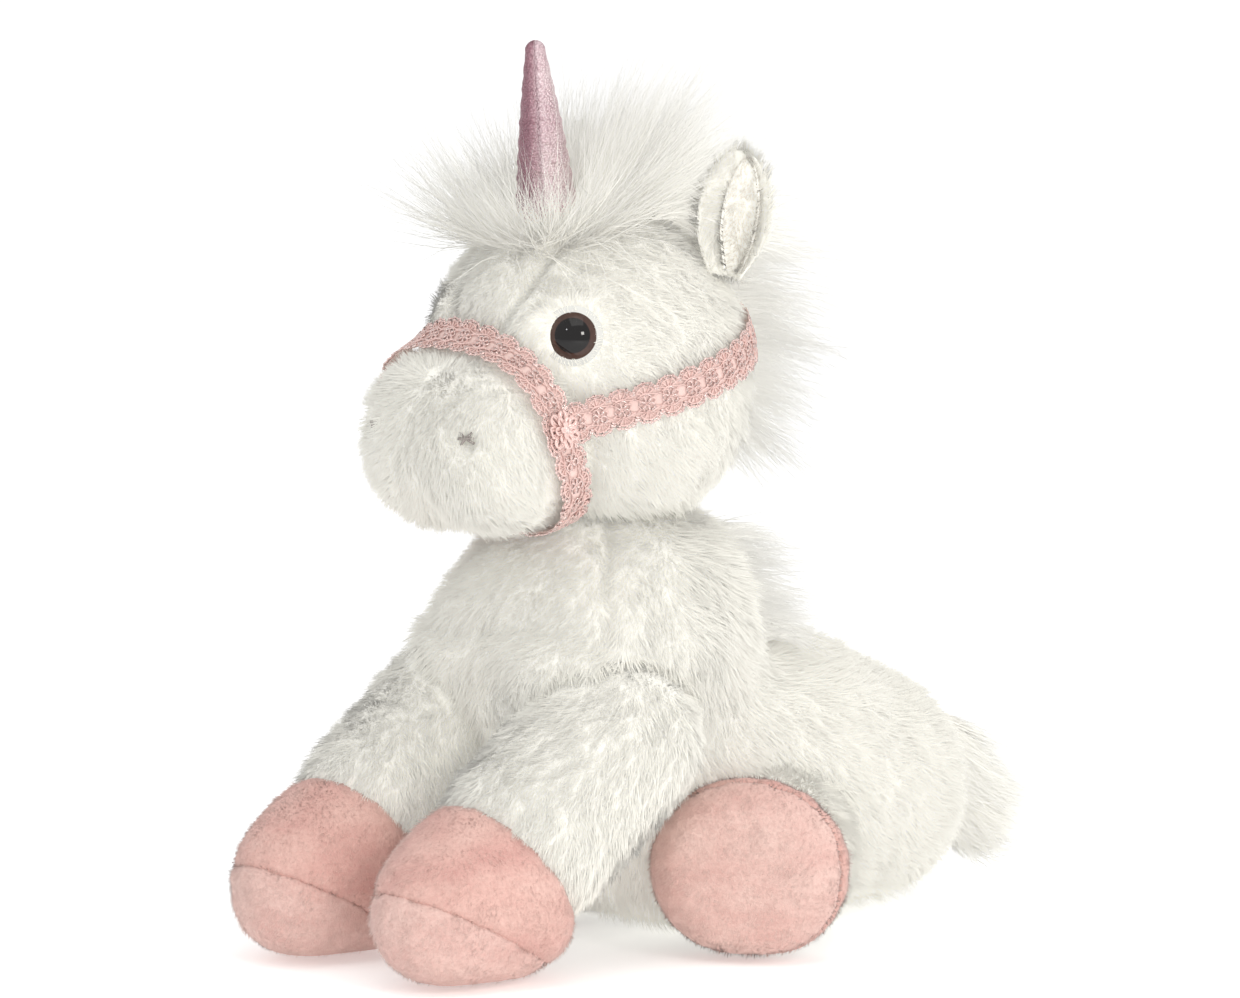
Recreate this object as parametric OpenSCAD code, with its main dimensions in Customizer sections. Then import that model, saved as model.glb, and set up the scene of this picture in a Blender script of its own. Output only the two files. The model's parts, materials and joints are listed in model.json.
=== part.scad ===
// Sitting plush unicorn, built as sewn covers over stuffing, with a joint at every flexible seam.
// Faces -Y with its left side towards +X. Stands on z = 0, with the box centred on the origin.

/* [Torso] */
// Radius of the barrel over the belly
belly_r = 42; // [38:1:46]
// Radius of the rump
rump_r = 40; // [36:1:42]
// Distance from the centre of the belly to the centre of the rump
barrel_len = 62; // [54:1:68]
// Radius of the breast at the foot of the neck
breast_r = 44; // [42:1:46]
// Radius of the top of the neck
neck_r = 41; // [38:1:43]
// Height of the centre that the head turns on
neck_z = 98; // [94:1:102]

/* [Head] */
// Radius of the skull
skull_r = 47; // [44:1:50]
// Radius of the cheeks
cheek_r = 36; // [33:1:38]
// Half of the distance between the centres of the cheeks
cheek_x = 14; // [10:1:16]
// Radius of the muzzle
muzzle_r = 27; // [24:1:29]
// Half of the distance between the rounded ends of the muzzle
muzzle_x = 11; // [8:1:14]
// Height of the centre of the skull
skull_z = 180; // [178:1:184]

/* [Horn and ears] */
// Radius of the horn at its root
horn_r = 9.5; // [8:0.5:11]
// Radius of the blunt tip of the horn
horn_tip_r = 2.8; // [2:0.2:4]
// Height of the horn tip above the floor
horn_top = 272.5; // [262:0.5:280]
// Length of an ear
ear_len = 38; // [32:1:44]
// Half width of an ear at its foot
ear_r = 11; // [9:0.5:12]

/* [Legs] */
// Radius of a front leg at the shoulder
shoulder_r = 27; // [24:1:28]
// Radius of a front leg at the ankle
ankle_r = 25; // [22:1:26]
// Radius of a front hoof
front_hoof_r = 24; // [22:1:25]
// Radius of a hind leg at the hip
hip_r = 27; // [24:1:28]
// Radius of a hind hoof
hind_hoof_r = 29; // [27:1:30]
// Direction in which a hind sole faces, in degrees outward from straight ahead
hind_splay = 38; // [30:1:45]

/* [Fabric] */
// Thickness of the plush fabric with its backing
fabric_t = 2; // [1.5:0.25:3]
// Thickness of the lace trim
lace_t = 1.2; // [0.8:0.1:1.6]
// Width of the lace trim
lace_w = 10; // [8:0.5:12]
// Diameter of an eye
eye_d = 15.6; // [14:0.2:18]

/* [Hidden] */
$fn = 64;

// Clearances: across a joint, and between a cover and what fills it
joint_gap = 0.6;
fill_gap = 0.3;
// Steps in each rounded end of a tapered form
arc_steps = 9;
// Longer than the whole toy, for cutting blocks
far = 400;

// Colours
PILE = [0.95, 0.94, 0.91];
LONG_PILE = [0.98, 0.97, 0.96];
PINK = [0.93, 0.70, 0.69];
PINK_SOLE = [0.95, 0.76, 0.74];
LACE = [0.93, 0.72, 0.74];
FOIL = [0.80, 0.58, 0.66];
FIBRE = [0.90, 0.90, 0.88];
BEAN = [0.75, 0.78, 0.80];
BROWN = [0.22, 0.14, 0.11];
THREAD = [0.70, 0.68, 0.66];

// Landmarks, each [x, y, z] for the left side
floor_press = 1.5;
belly_c = [0, 6, belly_r - floor_press];
rump_c = [0, 6 + barrel_len, rump_r - floor_press];
breast_c = [0, -20, 62];
neck_c = [0, -28, neck_z];
skull_c = [0, -30, skull_z];
cheek_c = [cheek_x, -26, 163];
muzzle_c = [muzzle_x, -73, 155];
horn_root = [0, -45, 221];
horn_tip = [0, -49.5, horn_top - horn_tip_r];
shoulder = [35, -48, 68];
ankle = [33, -88, 36];
front_hoof_back = [33, -92, 23];
front_hoof_front = [33, -110, 23];
hip = [30, 17, 28];
hind_reach = 38;
hind_dir = [sin(hind_splay), -cos(hind_splay), 0];
tail_root = [0, 104, 46];
tail_root_r = 10;
tail_tip = [0, 125, 18];
tail_tip_r = 15;
ear_foot = [35.5, -6, 203.5];
ear_facing = 48;
ear_lean = 8;

// The box of the toy runs from the toes to the end of the tail, and is centred on the origin
toe_y = front_hoof_front[1] - front_hoof_r;
tail_end_y = tail_tip[1] + tail_tip_r;
shift_y = -(toe_y + tail_end_y) / 2;

module placed() {
    translate([0, shift_y, 0]) children();
}

module on_right() {
    mirror([1, 0, 0]) children();
}

// Half outline of two balls and the cone that touches them both, from pole to pole
function taper_outline(len, r1, r2) =
    let (lean = asin((r1 - r2) / len))
    concat(
        [for (i = [0:arc_steps]) let (a = -90 + (90 + lean) * i / arc_steps) [r1 * cos(a), r1 * sin(a)]],
        [for (i = [0:arc_steps]) let (a = lean + (90 - lean) * i / arc_steps) [r2 * cos(a), len + r2 * sin(a)]]
    );

// Turns +Z onto the line from one point to another
module along(from, to) {
    v = to - from;
    translate(from) rotate([0, acos(v[2] / norm(v)), atan2(v[1], v[0])]) children();
}

// A round form that tapers from one ball to another
module taper(from, r1, to, r2) {
    along(from, to) rotate_extrude() polygon(taper_outline(norm(to - from), r1, r2));
}

module above(z) {
    translate([-far / 2, -far / 2, z]) cube(far);
}

module below(z) {
    translate([-far / 2, -far / 2, z - far]) cube(far);
}

module left_half() {
    translate([0, -far / 2, 0]) cube(far);
}

// ---- Forms, each shrunk by inset from the outside of the fabric ----

module barrel_form(inset) {
    taper(belly_c, belly_r - inset, rump_c, rump_r - inset);
}

module breast_form(inset) {
    taper(breast_c, breast_r - inset, neck_c, neck_r - inset);
}

module torso_form(inset) {
    difference() {
        union() {
            barrel_form(inset);
            breast_form(inset);
        }
        below(inset);
    }
}

module skull_form(inset) {
    translate(skull_c) sphere(skull_r - inset);
    taper([-cheek_c[0], cheek_c[1], cheek_c[2]], cheek_r - inset, cheek_c, cheek_r - inset - 0.01);
}

module muzzle_form(inset) {
    taper([-muzzle_c[0], muzzle_c[1], muzzle_c[2]], muzzle_r - inset, muzzle_c, muzzle_r - inset - 0.01);
}

module front_leg_form(inset) {
    taper(shoulder, shoulder_r - inset, ankle, ankle_r - inset);
}

module front_hoof_form(inset) {
    difference() {
        taper(front_hoof_back, front_hoof_r - inset, front_hoof_front, front_hoof_r - inset - 0.01);
        below(inset);
    }
}

// Hind legs turn on one line from the hip to the hoof, so their outlines are drawn from the hip up
hind_sleeve_reach = hind_reach - 18;

module hind_leg_outline(inset) {
    polygon(taper_outline(hind_sleeve_reach, hip_r - inset, hip_r - 1 - inset));
}

// A puffed disc with a round rim, a little fuller in front than behind
module hind_hoof_outline(inset) {
    rim = 11;
    translate([0, hind_reach]) polygon(concat(
        [[0, -rim + inset]],
        [for (a = [-90:15:90]) [hind_hoof_r - rim + (rim - inset) * cos(a), (rim - inset) * sin(a)]],
        [[0, rim + 1.5 - inset]]
    ));
}

// Turns an outline round the line of the hind leg and cuts it off at a height
module hind_turned(floor_z) {
    difference() {
        along(hip, hip + hind_dir) rotate_extrude() children();
        below(floor_z);
    }
}

// Room that a front leg needs over its swing, as a widening form as wide as the leg
module front_leg_room(gap) {
    half_swing = 15;
    side_play = 0.2;
    r = shoulder_r + gap;
    reach = norm(ankle - shoulder);
    down = atan2(shoulder[2] - ankle[2], shoulder[1] - ankle[1]) - half_swing;
    intersection() {
        taper(shoulder, r, shoulder + reach * [0, -cos(down), -sin(down)], r + reach * sin(half_swing));
        translate([shoulder[0] - r - side_play, -far / 2, 0]) cube([2 * (r + side_play), far, far]);
    }
}

// Room that a hind leg and its hoof need as they turn outward: a widening form, then a block before the hoof
module hind_leg_room(gap) {
    half_swing = 6;
    mid = hind_splay + half_swing;
    r = hip_r + gap;
    wide = hind_hoof_r + gap + 3;
    leg_reach = hind_reach - 12;
    taper(hip, r, hip + leg_reach * [sin(mid), -cos(mid), 0], r + leg_reach * sin(half_swing));
    translate(hip) rotate([0, 0, mid - 90])
        translate([leg_reach - 5, -wide, -far / 2]) cube([far, 2 * wide, far / 2 + wide]);
}

// Everything that has to stay clear of the torso pieces
module torso_sockets(gap) {
    front_leg_room(gap);
    on_right() front_leg_room(gap);
    hind_leg_room(gap);
    on_right() hind_leg_room(gap);
    translate(tail_root) sphere(tail_root_r + gap);
}

// Height of the open end of the neck above the centre that the head turns on
neck_top = 34;

module torso_shell() {
    difference() {
        torso_form(0);
        torso_form(fabric_t);
        above(neck_z + neck_top);
        torso_sockets(joint_gap);
    }
}

chest_seam = 49;
belly_seam_z = 7;
armpit_z = 52;

// The chest panel lies between the two side seams, and below the armpits it takes the whole front
module chest_zone() {
    translate([0, breast_c[1], belly_seam_z]) {
        linear_extrude(far) polygon([[0, 0], [far * sin(chest_seam), -far * cos(chest_seam)],
            [-far * sin(chest_seam), -far * cos(chest_seam)]]);
        translate([-far / 2, -far, 0]) cube([far, far + 8, armpit_z - belly_seam_z]);
        translate([-far / 2, -far, 0]) cube([far, far + 36, 12]);
    }
}

module back_half() {
    difference() {
        intersection() {
            torso_shell();
            left_half();
        }
        chest_zone();
        below(belly_seam_z);
    }
}

module back_panel_left() {
    color(PILE) placed() back_half();
}

module back_panel_right() {
    color(PILE) placed() on_right() back_half();
}

module chest_panel() {
    color(PILE) placed() intersection() {
        torso_shell();
        chest_zone();
    }
}

module belly_panel() {
    color(PILE) placed() intersection() {
        torso_shell();
        below(belly_seam_z);
    }
}

// Seat pouch and the block of stuffing that makes room for it
seat_y = [22, 84];
seat_z = 26;

module seat_block(gap) {
    wide = 64 + 2 * gap;
    long = seat_y[1] - seat_y[0] + 2 * gap;
    translate([-wide / 2, seat_y[0] - gap, -1]) cube([wide, long, seat_z + 1 + gap]);
}

wad_r = 25;
wad_rise = 12;

module wad_form(gap) {
    translate(neck_c + [0, 0, wad_rise]) sphere(wad_r + gap);
}

// The filling of the barrel stops short of the hips, where the hind legs take its place
module barrel_stuffing() {
    color(FIBRE) placed() difference() {
        barrel_form(fabric_t + fill_gap);
        below(fabric_t + fill_gap);
        breast_form(fabric_t);
        for (side = [-1, 1]) translate([side * hip[0], hip[1], hip[2]]) sphere(hip_r + joint_gap);
        translate(tail_root) sphere(tail_root_r + joint_gap);
        seat_block(fill_gap);
        translate([-far / 2, hip[1] - far, hip[2] + hip_r + 11 - far]) cube(far);
    }
}

module chest_stuffing() {
    color(FIBRE) placed() difference() {
        breast_form(fabric_t + fill_gap);
        wad_form(joint_gap);
        above(neck_z + neck_top / 2);
        front_leg_room(joint_gap);
        on_right() front_leg_room(joint_gap);
        hind_leg_room(joint_gap);
        on_right() hind_leg_room(joint_gap);
    }
}

module seat_bean_bag() {
    color(BEAN) placed() difference() {
        intersection() {
            torso_form(fabric_t + fill_gap);
            seat_block(0);
        }
        torso_sockets(joint_gap + fill_gap);
    }
}

module neck_wad() {
    color(FIBRE) placed() wad_form(0);
}

mane_w = 16;
mane_t = 9;

module neck_mane() {
    color(LONG_PILE) placed() intersection() {
        difference() {
            taper(breast_c, breast_r + mane_t, neck_c, neck_r + mane_t);
            torso_form(0);
        }
        translate([-mane_w / 2, 0, 88]) cube([mane_w, 60, 24]);
    }
}

// ---- Head ----

eye_turn = 45;
eye_up = 11;

// Puts +Z of its children on the outward line through the left eye, with the origin on the skull
module at_eye() {
    along(skull_c, skull_c + [sin(eye_turn) * cos(eye_up), -cos(eye_turn) * cos(eye_up), sin(eye_up)])
        translate([0, 0, skull_r]) children();
}

shank_r = 2.2;
shank_len = 12;
washer_r = 9;
washer_t = 1.6;
washer_gap = 0.05;

module eye_solid() {
    dome = 4.2;
    dome_r = (pow(eye_d / 2, 2) + dome * dome) / (2 * dome);
    at_eye() {
        intersection() {
            translate([0, 0, dome - dome_r]) sphere(dome_r);
            cylinder(h = dome + 1, r = eye_d / 2);
        }
        translate([0, 0, -shank_len]) cylinder(h = shank_len + 0.5, r = shank_r);
    }
}

module washer_solid() {
    at_eye() translate([0, 0, -fabric_t - fill_gap - washer_t - 1]) difference() {
        cylinder(h = washer_t, r = washer_r);
        translate([0, 0, -1]) cylinder(h = washer_t + 2, r = shank_r + washer_gap);
    }
}

// Clear space for the dome, shank and washer of both eyes
module eye_room(r_shank, r_washer) {
    for (side = [0, 1]) mirror([side, 0, 0]) at_eye() {
        cylinder(h = 12, r = eye_d / 2 + fill_gap);
        translate([0, 0, -shank_len - 1]) cylinder(h = shank_len + 12, r = r_shank);
        translate([0, 0, -fabric_t - washer_t - 2]) cylinder(h = washer_t + 2, r = r_washer);
    }
}

module neck_socket() {
    translate(neck_c) sphere(neck_r + joint_gap);
}

// Room round the foot of the horn, so that it can flex
horn_play = 1.8;

module horn_socket() {
    translate(horn_root) sphere(horn_r + horn_play);
}

// The seam where the muzzle is sewn to the face
muzzle_seam_y = -67;

module in_front_of(y) {
    translate([-far / 2, y - far, 0]) cube(far);
}

module head_shell() {
    difference() {
        union() {
            skull_form(0);
            intersection() {
                muzzle_form(0);
                translate([-far / 2, muzzle_seam_y, 0]) cube(far);
            }
        }
        skull_form(fabric_t);
        muzzle_form(fabric_t);
        neck_socket();
        horn_socket();
        eye_room(shank_r + fill_gap, shank_r + fill_gap);
    }
}

// The centre panel runs from the muzzle over the forehead to the crown
gusset_w = 30;

module gusset_block() {
    translate([-gusset_w / 2, -far, 172]) cube([gusset_w, far, far]);
}

module head_side() {
    difference() {
        intersection() {
            head_shell();
            left_half();
        }
        gusset_block();
    }
}

module head_side_left() {
    color(PILE) placed() head_side();
}

module head_side_right() {
    color(PILE) placed() on_right() head_side();
}

module forehead_gusset() {
    color(PILE) placed() intersection() {
        head_shell();
        gusset_block();
    }
}

module muzzle_cover() {
    color(PILE) placed() difference() {
        intersection() {
            muzzle_form(0);
            in_front_of(muzzle_seam_y);
        }
        muzzle_form(fabric_t);
        skull_form(0);
        nostril_bars(0.1);
    }
}

stuffing_split_y = -60;

module head_stuffing() {
    color(FIBRE) placed() difference() {
        skull_form(fabric_t + fill_gap);
        in_front_of(stuffing_split_y);
        neck_socket();
        horn_socket();
        eye_room(shank_r + fill_gap, washer_r + fill_gap);
    }
}

module muzzle_stuffing() {
    color(FIBRE) placed() difference() {
        union() {
            muzzle_form(fabric_t + fill_gap);
            skull_form(fabric_t + fill_gap);
        }
        translate([-far / 2, stuffing_split_y - fill_gap, 0]) cube(far);
        horn_socket();
        eye_room(washer_r + fill_gap, washer_r + fill_gap);
        nostril_bars(0.2);
    }
}

module horn_room(gap) {
    taper(horn_root, horn_r + gap, horn_root + [0, 0, 40], horn_r + gap + 5);
}

forelock_t = 13;
forelock_spread = 34;
forelock_tilt = 12;

// A cap of fur on the crown, with a well in it for the horn
module forelock() {
    turns = [for (i = [0:8]) forelock_spread * i / 8];
    cap = concat(
        [for (a = turns) (skull_r + fill_gap) * [sin(a), cos(a)]],
        [for (i = [8:-1:0]) (skull_r + forelock_t) * [sin(turns[i]), cos(turns[i])]]
    );
    color(LONG_PILE) placed() difference() {
        translate(skull_c) rotate([forelock_tilt, 0, 0]) rotate_extrude() polygon(cap);
        horn_room(3);
    }
}

module head_mane() {
    span = [-30, 65];
    color(LONG_PILE) placed() translate([-mane_w / 2, skull_c[1], skull_c[2]])
        rotate([90, 0, 90]) linear_extrude(mane_w) difference() {
            intersection() {
                circle(skull_r + mane_t + 2);
                polygon([[0, 0], 99 * [cos(span[0]), sin(span[0])],
                    140 * [cos(20), sin(20)], 99 * [cos(span[1]), sin(span[1])]]);
            }
            circle(skull_r + fill_gap);
        }
}

module eye_left() {
    color(BROWN) placed() eye_solid();
}

module eye_right() {
    color(BROWN) placed() on_right() eye_solid();
}

module eye_washer_left() {
    color(FIBRE) placed() washer_solid();
}

module eye_washer_right() {
    color(FIBRE) placed() on_right() washer_solid();
}

// A short bar of thread at each side of the nose, let into the fabric
nostril = [22, -96.4, 160];

module nostril_bars(gap) {
    for (side = [-1, 1])
        taper([side * nostril[0], nostril[1], nostril[2] - 3], 1.3 + gap,
            [side * nostril[0], nostril[1] + 0.8, nostril[2] + 3], 1.29 + gap);
}

module nostril_stitches() {
    color(THREAD) placed() nostril_bars(0);
}

// ---- Lace halter ----

lace_y = -72;
junction_z = 162;
junction_gap = 6;

module muzzle_ring() {
    intersection() {
        difference() {
            muzzle_form(-lace_t);
            muzzle_form(0);
            skull_form(0);
        }
        translate([-far / 2, lace_y - lace_w / 2, 0]) cube([far, lace_w, far]);
    }
}

module lace_noseband() {
    color(LACE) placed() intersection() {
        muzzle_ring();
        above(junction_z + junction_gap);
    }
}

module lace_chin_strap() {
    color(LACE) placed() intersection() {
        muzzle_ring();
        below(junction_z - junction_gap);
    }
}

cheek_rise = 15.5;

module cheek_strap() {
    difference() {
        intersection() {
            skull_form(-lace_t);
            left_half();
            translate([0, lace_y, junction_z]) rotate([cheek_rise, 0, 0])
                translate([-far / 2, 0, -lace_w / 2]) cube([far, far / 2, lace_w]);
        }
        skull_form(0);
        muzzle_form(0.01 - lace_t);
        in_front_of(muzzle_seam_y + 4);
        translate([0, -20, 150]) cube([mane_w / 2 + 0.5, 80, 80]);
    }
}

module lace_cheek_strap_left() {
    color(LACE) placed() cheek_strap();
}

module lace_cheek_strap_right() {
    color(LACE) placed() on_right() cheek_strap();
}

// A five-petalled knot of lace over the junction of the straps
module rosette() {
    petals = 5;
    petal_r = 3.2;
    difference() {
        translate([muzzle_c[0] + muzzle_r - 2, lace_y + 1, junction_z]) rotate([0, 90, 0]) linear_extrude(5) {
            for (i = [0:petals - 1]) rotate(360 / petals * i) translate([4.2, 0]) circle(petal_r);
            circle(petal_r);
        }
        muzzle_form(-lace_t);
    }
}

module rosette_left() {
    color(LACE) placed() rosette();
}

module rosette_right() {
    color(LACE) placed() on_right() rosette();
}

// ---- Horn ----

foil_t = 0.8;

module horn_form(inset) {
    taper(horn_root, horn_r - inset, horn_tip, horn_tip_r - inset);
}

module horn_cover() {
    color(FOIL) placed() difference() {
        horn_form(0);
        horn_form(foil_t);
        below(horn_root[2] - 6);
    }
}

module horn_stuffing() {
    color(FIBRE) placed() horn_form(foil_t + fill_gap);
}

// ---- Ears ----

lining_t = 2;
ear_t = 3.2;

// Flat sheet of an ear with its foot at the origin, from front to back along Y
module ear_sheet(inset, from_y, thick) {
    foot = ear_r - inset;
    tip = ear_r * 0.66 - inset;
    outline = taper_outline(ear_len - foot - tip - 2 * inset, foot, tip);
    translate([0, from_y + thick, foot + inset]) rotate([90, 0, 0]) linear_extrude(thick)
        polygon(concat(outline, [for (i = [len(outline) - 2:-1:1]) [-outline[i][0], outline[i][1]]]));
}

// Room between the foot of an ear and the skull, so that it can fold
ear_room = 2;

module at_ear() {
    difference() {
        translate(ear_foot) rotate([0, 0, ear_facing]) rotate([0, ear_lean, 0]) children();
        translate(skull_c) sphere(skull_r + ear_room);
    }
}

module ear_left() {
    color(PILE) placed() at_ear() ear_sheet(0, 0, ear_t);
}

module ear_right() {
    color(PILE) placed() on_right() at_ear() ear_sheet(0, 0, ear_t);
}

module ear_lining_left() {
    color(PILE) placed() at_ear() ear_sheet(2, -lining_t, lining_t);
}

module ear_lining_right() {
    color(PILE) placed() on_right() at_ear() ear_sheet(2, -lining_t, lining_t);
}

// ---- Front legs ----

module front_sleeve() {
    difference() {
        front_leg_form(0);
        front_leg_form(fabric_t);
        front_hoof_form(0);
        below(0);
    }
}

module front_stuffing() {
    difference() {
        front_leg_form(fabric_t + fill_gap);
        front_hoof_form(-fill_gap);
    }
}

// The sole lies below a sloping seam that rises towards the toe
sole_slope = 27;

module sole_side() {
    translate([0, -101, 15]) rotate([-sole_slope, 0, 0]) translate([-far / 2, -far / 2, -far]) cube(far);
}

module front_hoof_shell() {
    difference() {
        front_hoof_form(0);
        front_hoof_form(fabric_t);
    }
}

module front_cuff() {
    difference() {
        front_hoof_shell();
        sole_side();
    }
}

module front_sole() {
    intersection() {
        front_hoof_shell();
        sole_side();
    }
}

module front_sleeve_left() {
    color(PILE) placed() front_sleeve();
}

module front_sleeve_right() {
    color(PILE) placed() on_right() front_sleeve();
}

module front_hoof_cuff_left() {
    color(PINK) placed() front_cuff();
}

module front_hoof_cuff_right() {
    color(PINK) placed() on_right() front_cuff();
}

module front_sole_left() {
    color(PINK_SOLE) placed() front_sole();
}

module front_sole_right() {
    color(PINK_SOLE) placed() on_right() front_sole();
}

module front_stuffing_left() {
    color(FIBRE) placed() front_stuffing();
}

module front_stuffing_right() {
    color(FIBRE) placed() on_right() front_stuffing();
}

module front_bean_bag_left() {
    color(BEAN) placed() front_hoof_form(fabric_t + fill_gap);
}

module front_bean_bag_right() {
    color(BEAN) placed() on_right() front_hoof_form(fabric_t + fill_gap);
}

// ---- Hind legs ----

// The sole starts at a seam this far in front of the middle of the hoof
hind_seam = 4;

module sole_outline_zone() {
    translate([-1, hind_reach + hind_seam]) square(100);
}

module hind_rim() {
    difference() {
        hind_turned(0) difference() {
            hind_hoof_outline(0);
            sole_outline_zone();
        }
        hind_turned(fabric_t) hind_hoof_outline(fabric_t);
    }
}

module hind_sole() {
    difference() {
        hind_turned(0) intersection() {
            hind_hoof_outline(0);
            sole_outline_zone();
        }
        hind_turned(fabric_t) hind_hoof_outline(fabric_t);
    }
}

module hind_sleeve() {
    hind_turned(0) difference() {
        hind_leg_outline(0);
        hind_leg_outline(fabric_t);
        hind_hoof_outline(0);
    }
}

module hind_stuffing() {
    hind_turned(0) difference() {
        hind_leg_outline(fabric_t + fill_gap);
        hind_hoof_outline(-fill_gap);
    }
}

module hind_bean_bag() {
    hind_turned(fabric_t + fill_gap) hind_hoof_outline(fabric_t + fill_gap);
}

module hind_sleeve_left() {
    color(PILE) placed() hind_sleeve();
}

module hind_sleeve_right() {
    color(PILE) placed() on_right() hind_sleeve();
}

module hind_hoof_rim_left() {
    color(PINK) placed() hind_rim();
}

module hind_hoof_rim_right() {
    color(PINK) placed() on_right() hind_rim();
}

module hind_sole_left() {
    color(PINK_SOLE) placed() hind_sole();
}

module hind_sole_right() {
    color(PINK_SOLE) placed() on_right() hind_sole();
}

module hind_stuffing_left() {
    color(FIBRE) placed() hind_stuffing();
}

module hind_stuffing_right() {
    color(FIBRE) placed() on_right() hind_stuffing();
}

module hind_bean_bag_left() {
    color(BEAN) placed() hind_bean_bag();
}

module hind_bean_bag_right() {
    color(BEAN) placed() on_right() hind_bean_bag();
}

// ---- Tail ----

backing_r = 4;

// The root ball turns in its socket, and the rest of the tail hangs clear of the rump
module tail_form() {
    drop = 0.25;
    translate(tail_root) sphere(tail_root_r);
    difference() {
        taper(tail_root + drop * (tail_tip - tail_root), tail_root_r + 1, tail_tip, tail_tip_r);
        barrel_form(-joint_gap);
    }
}

module tail_strip(gap) {
    taper(tail_root - [0, 2, 3], backing_r + gap, tail_tip - [0, 2, -4], backing_r + gap - 0.01);
}

module tail_pile() {
    color(LONG_PILE) placed() difference() {
        tail_form();
        tail_strip(fill_gap);
    }
}

module tail_backing() {
    color(PILE) placed() intersection() {
        tail_form();
        tail_strip(0);
    }
}

back_panel_left();
back_panel_right();
chest_panel();
belly_panel();
barrel_stuffing();
chest_stuffing();
seat_bean_bag();
neck_mane();
neck_wad();
head_side_left();
head_side_right();
forehead_gusset();
muzzle_cover();
head_stuffing();
muzzle_stuffing();
forelock();
head_mane();
eye_left();
eye_right();
eye_washer_left();
eye_washer_right();
nostril_stitches();
lace_noseband();
lace_chin_strap();
lace_cheek_strap_left();
lace_cheek_strap_right();
rosette_left();
rosette_right();
horn_cover();
horn_stuffing();
ear_left();
ear_right();
ear_lining_left();
ear_lining_right();
front_sleeve_left();
front_sleeve_right();
front_hoof_cuff_left();
front_hoof_cuff_right();
front_sole_left();
front_sole_right();
front_stuffing_left();
front_stuffing_right();
front_bean_bag_left();
front_bean_bag_right();
hind_sleeve_left();
hind_sleeve_right();
hind_hoof_rim_left();
hind_hoof_rim_right();
hind_sole_left();
hind_sole_right();
hind_stuffing_left();
hind_stuffing_right();
hind_bean_bag_left();
hind_bean_bag_right();
tail_pile();
tail_backing();
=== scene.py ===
import json
import math

import bpy
import numpy as np
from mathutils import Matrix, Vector


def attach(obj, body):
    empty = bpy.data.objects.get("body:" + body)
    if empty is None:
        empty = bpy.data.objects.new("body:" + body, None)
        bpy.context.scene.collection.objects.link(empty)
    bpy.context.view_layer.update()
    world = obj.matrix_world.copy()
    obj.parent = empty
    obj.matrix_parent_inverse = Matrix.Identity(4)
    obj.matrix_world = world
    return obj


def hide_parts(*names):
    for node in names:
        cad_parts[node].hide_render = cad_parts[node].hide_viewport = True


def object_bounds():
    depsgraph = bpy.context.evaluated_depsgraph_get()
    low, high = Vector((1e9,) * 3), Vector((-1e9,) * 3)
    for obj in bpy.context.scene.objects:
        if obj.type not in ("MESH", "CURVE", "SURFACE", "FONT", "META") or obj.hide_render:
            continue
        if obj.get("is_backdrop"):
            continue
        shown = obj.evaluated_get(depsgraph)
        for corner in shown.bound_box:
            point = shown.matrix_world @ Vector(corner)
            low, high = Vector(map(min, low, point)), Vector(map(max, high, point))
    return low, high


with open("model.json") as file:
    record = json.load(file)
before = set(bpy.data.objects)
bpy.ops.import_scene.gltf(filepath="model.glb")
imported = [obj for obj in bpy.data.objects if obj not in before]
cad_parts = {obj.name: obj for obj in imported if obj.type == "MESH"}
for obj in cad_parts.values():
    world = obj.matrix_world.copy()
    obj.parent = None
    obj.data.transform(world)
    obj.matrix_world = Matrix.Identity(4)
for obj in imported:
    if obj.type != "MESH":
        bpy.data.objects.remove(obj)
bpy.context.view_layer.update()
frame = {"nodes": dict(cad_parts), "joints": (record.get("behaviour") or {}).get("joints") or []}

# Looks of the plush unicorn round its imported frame. Shapes are worked out in millimetres and
# written to the meshes in metres. It faces -Y, with its left side towards +X.

MM = 0.001
# Where each body turns on its parent
PIVOT = {j["child"]: np.array(j["pos_m"]) / MM for j in frame["joints"]}
NECK = PIVOT["neck"]
ORIGIN = NECK - (0, -28, 98)


def at(x, y, z):
    return ORIGIN + (x, y, z)


def unit(v):
    v = np.asarray(v, float)
    return v / np.maximum(np.linalg.norm(v, axis=-1, keepdims=True), 1e-9)


def direction(azimuth, elevation):
    """Unit vector azimuth degrees from -Y towards +X, and elevation degrees up."""
    a, e = math.radians(azimuth), math.radians(elevation)
    return np.array([math.sin(a) * math.cos(e), -math.cos(a) * math.cos(e), math.sin(e)])


def mirror(v):
    return np.asarray(v, float) * (-1, 1, 1)


# ---------------------------------------------------------------- landmarks

SKULL = at(0, -30, 180)
CHEEK = at(14, -26, 163)
MUZZLE = at(11, -73, 155)
BREAST = at(0, -20, 62)
BELLY = at(0, 6, 40.5)
RUMP = at(0, 68, 38.5)
SHOULDER = PIVOT["front_leg_left"]
ANKLE = at(33, -88, 36)
HIP = PIVOT["hind_leg_left"]
HIND_DIR = direction(38, 0)
HIND_HOOF = HIP + 38 * HIND_DIR
HIND_SIDE = direction(128, 0)
LEG_AXIS = unit(ANKLE - SHOULDER)
CUFF = SHOULDER + 52.7 * LEG_AXIS
TAIL_ROOT = PIVOT["tail"]
TAIL_TIP = at(0, 125, 18)
HORN_ROOT = PIVOT["horn"]
HORN_TIP = at(0, -49.5, 269.7)
EAR_FOOT = PIVOT["ear_left"]
EYE_DIR = direction(45, 11)
EYE = SKULL + 47 * EYE_DIR
NOSTRIL = at(22, -96.4, 160)
LACE_Y = at(0, -72, 0)[1]
JUNCTION_Z = 162
JAW = (at(36, -64, 151), at(30, -50, 137), at(34, -30, 130))
PILE_H = 2.6
FLOOR_GAP = 0.4
HAIR_TOP = 279

# ---------------------------------------------------------------- distance fields


def ball(p, c, r):
    return np.linalg.norm(p - c, axis=1) - r


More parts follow.
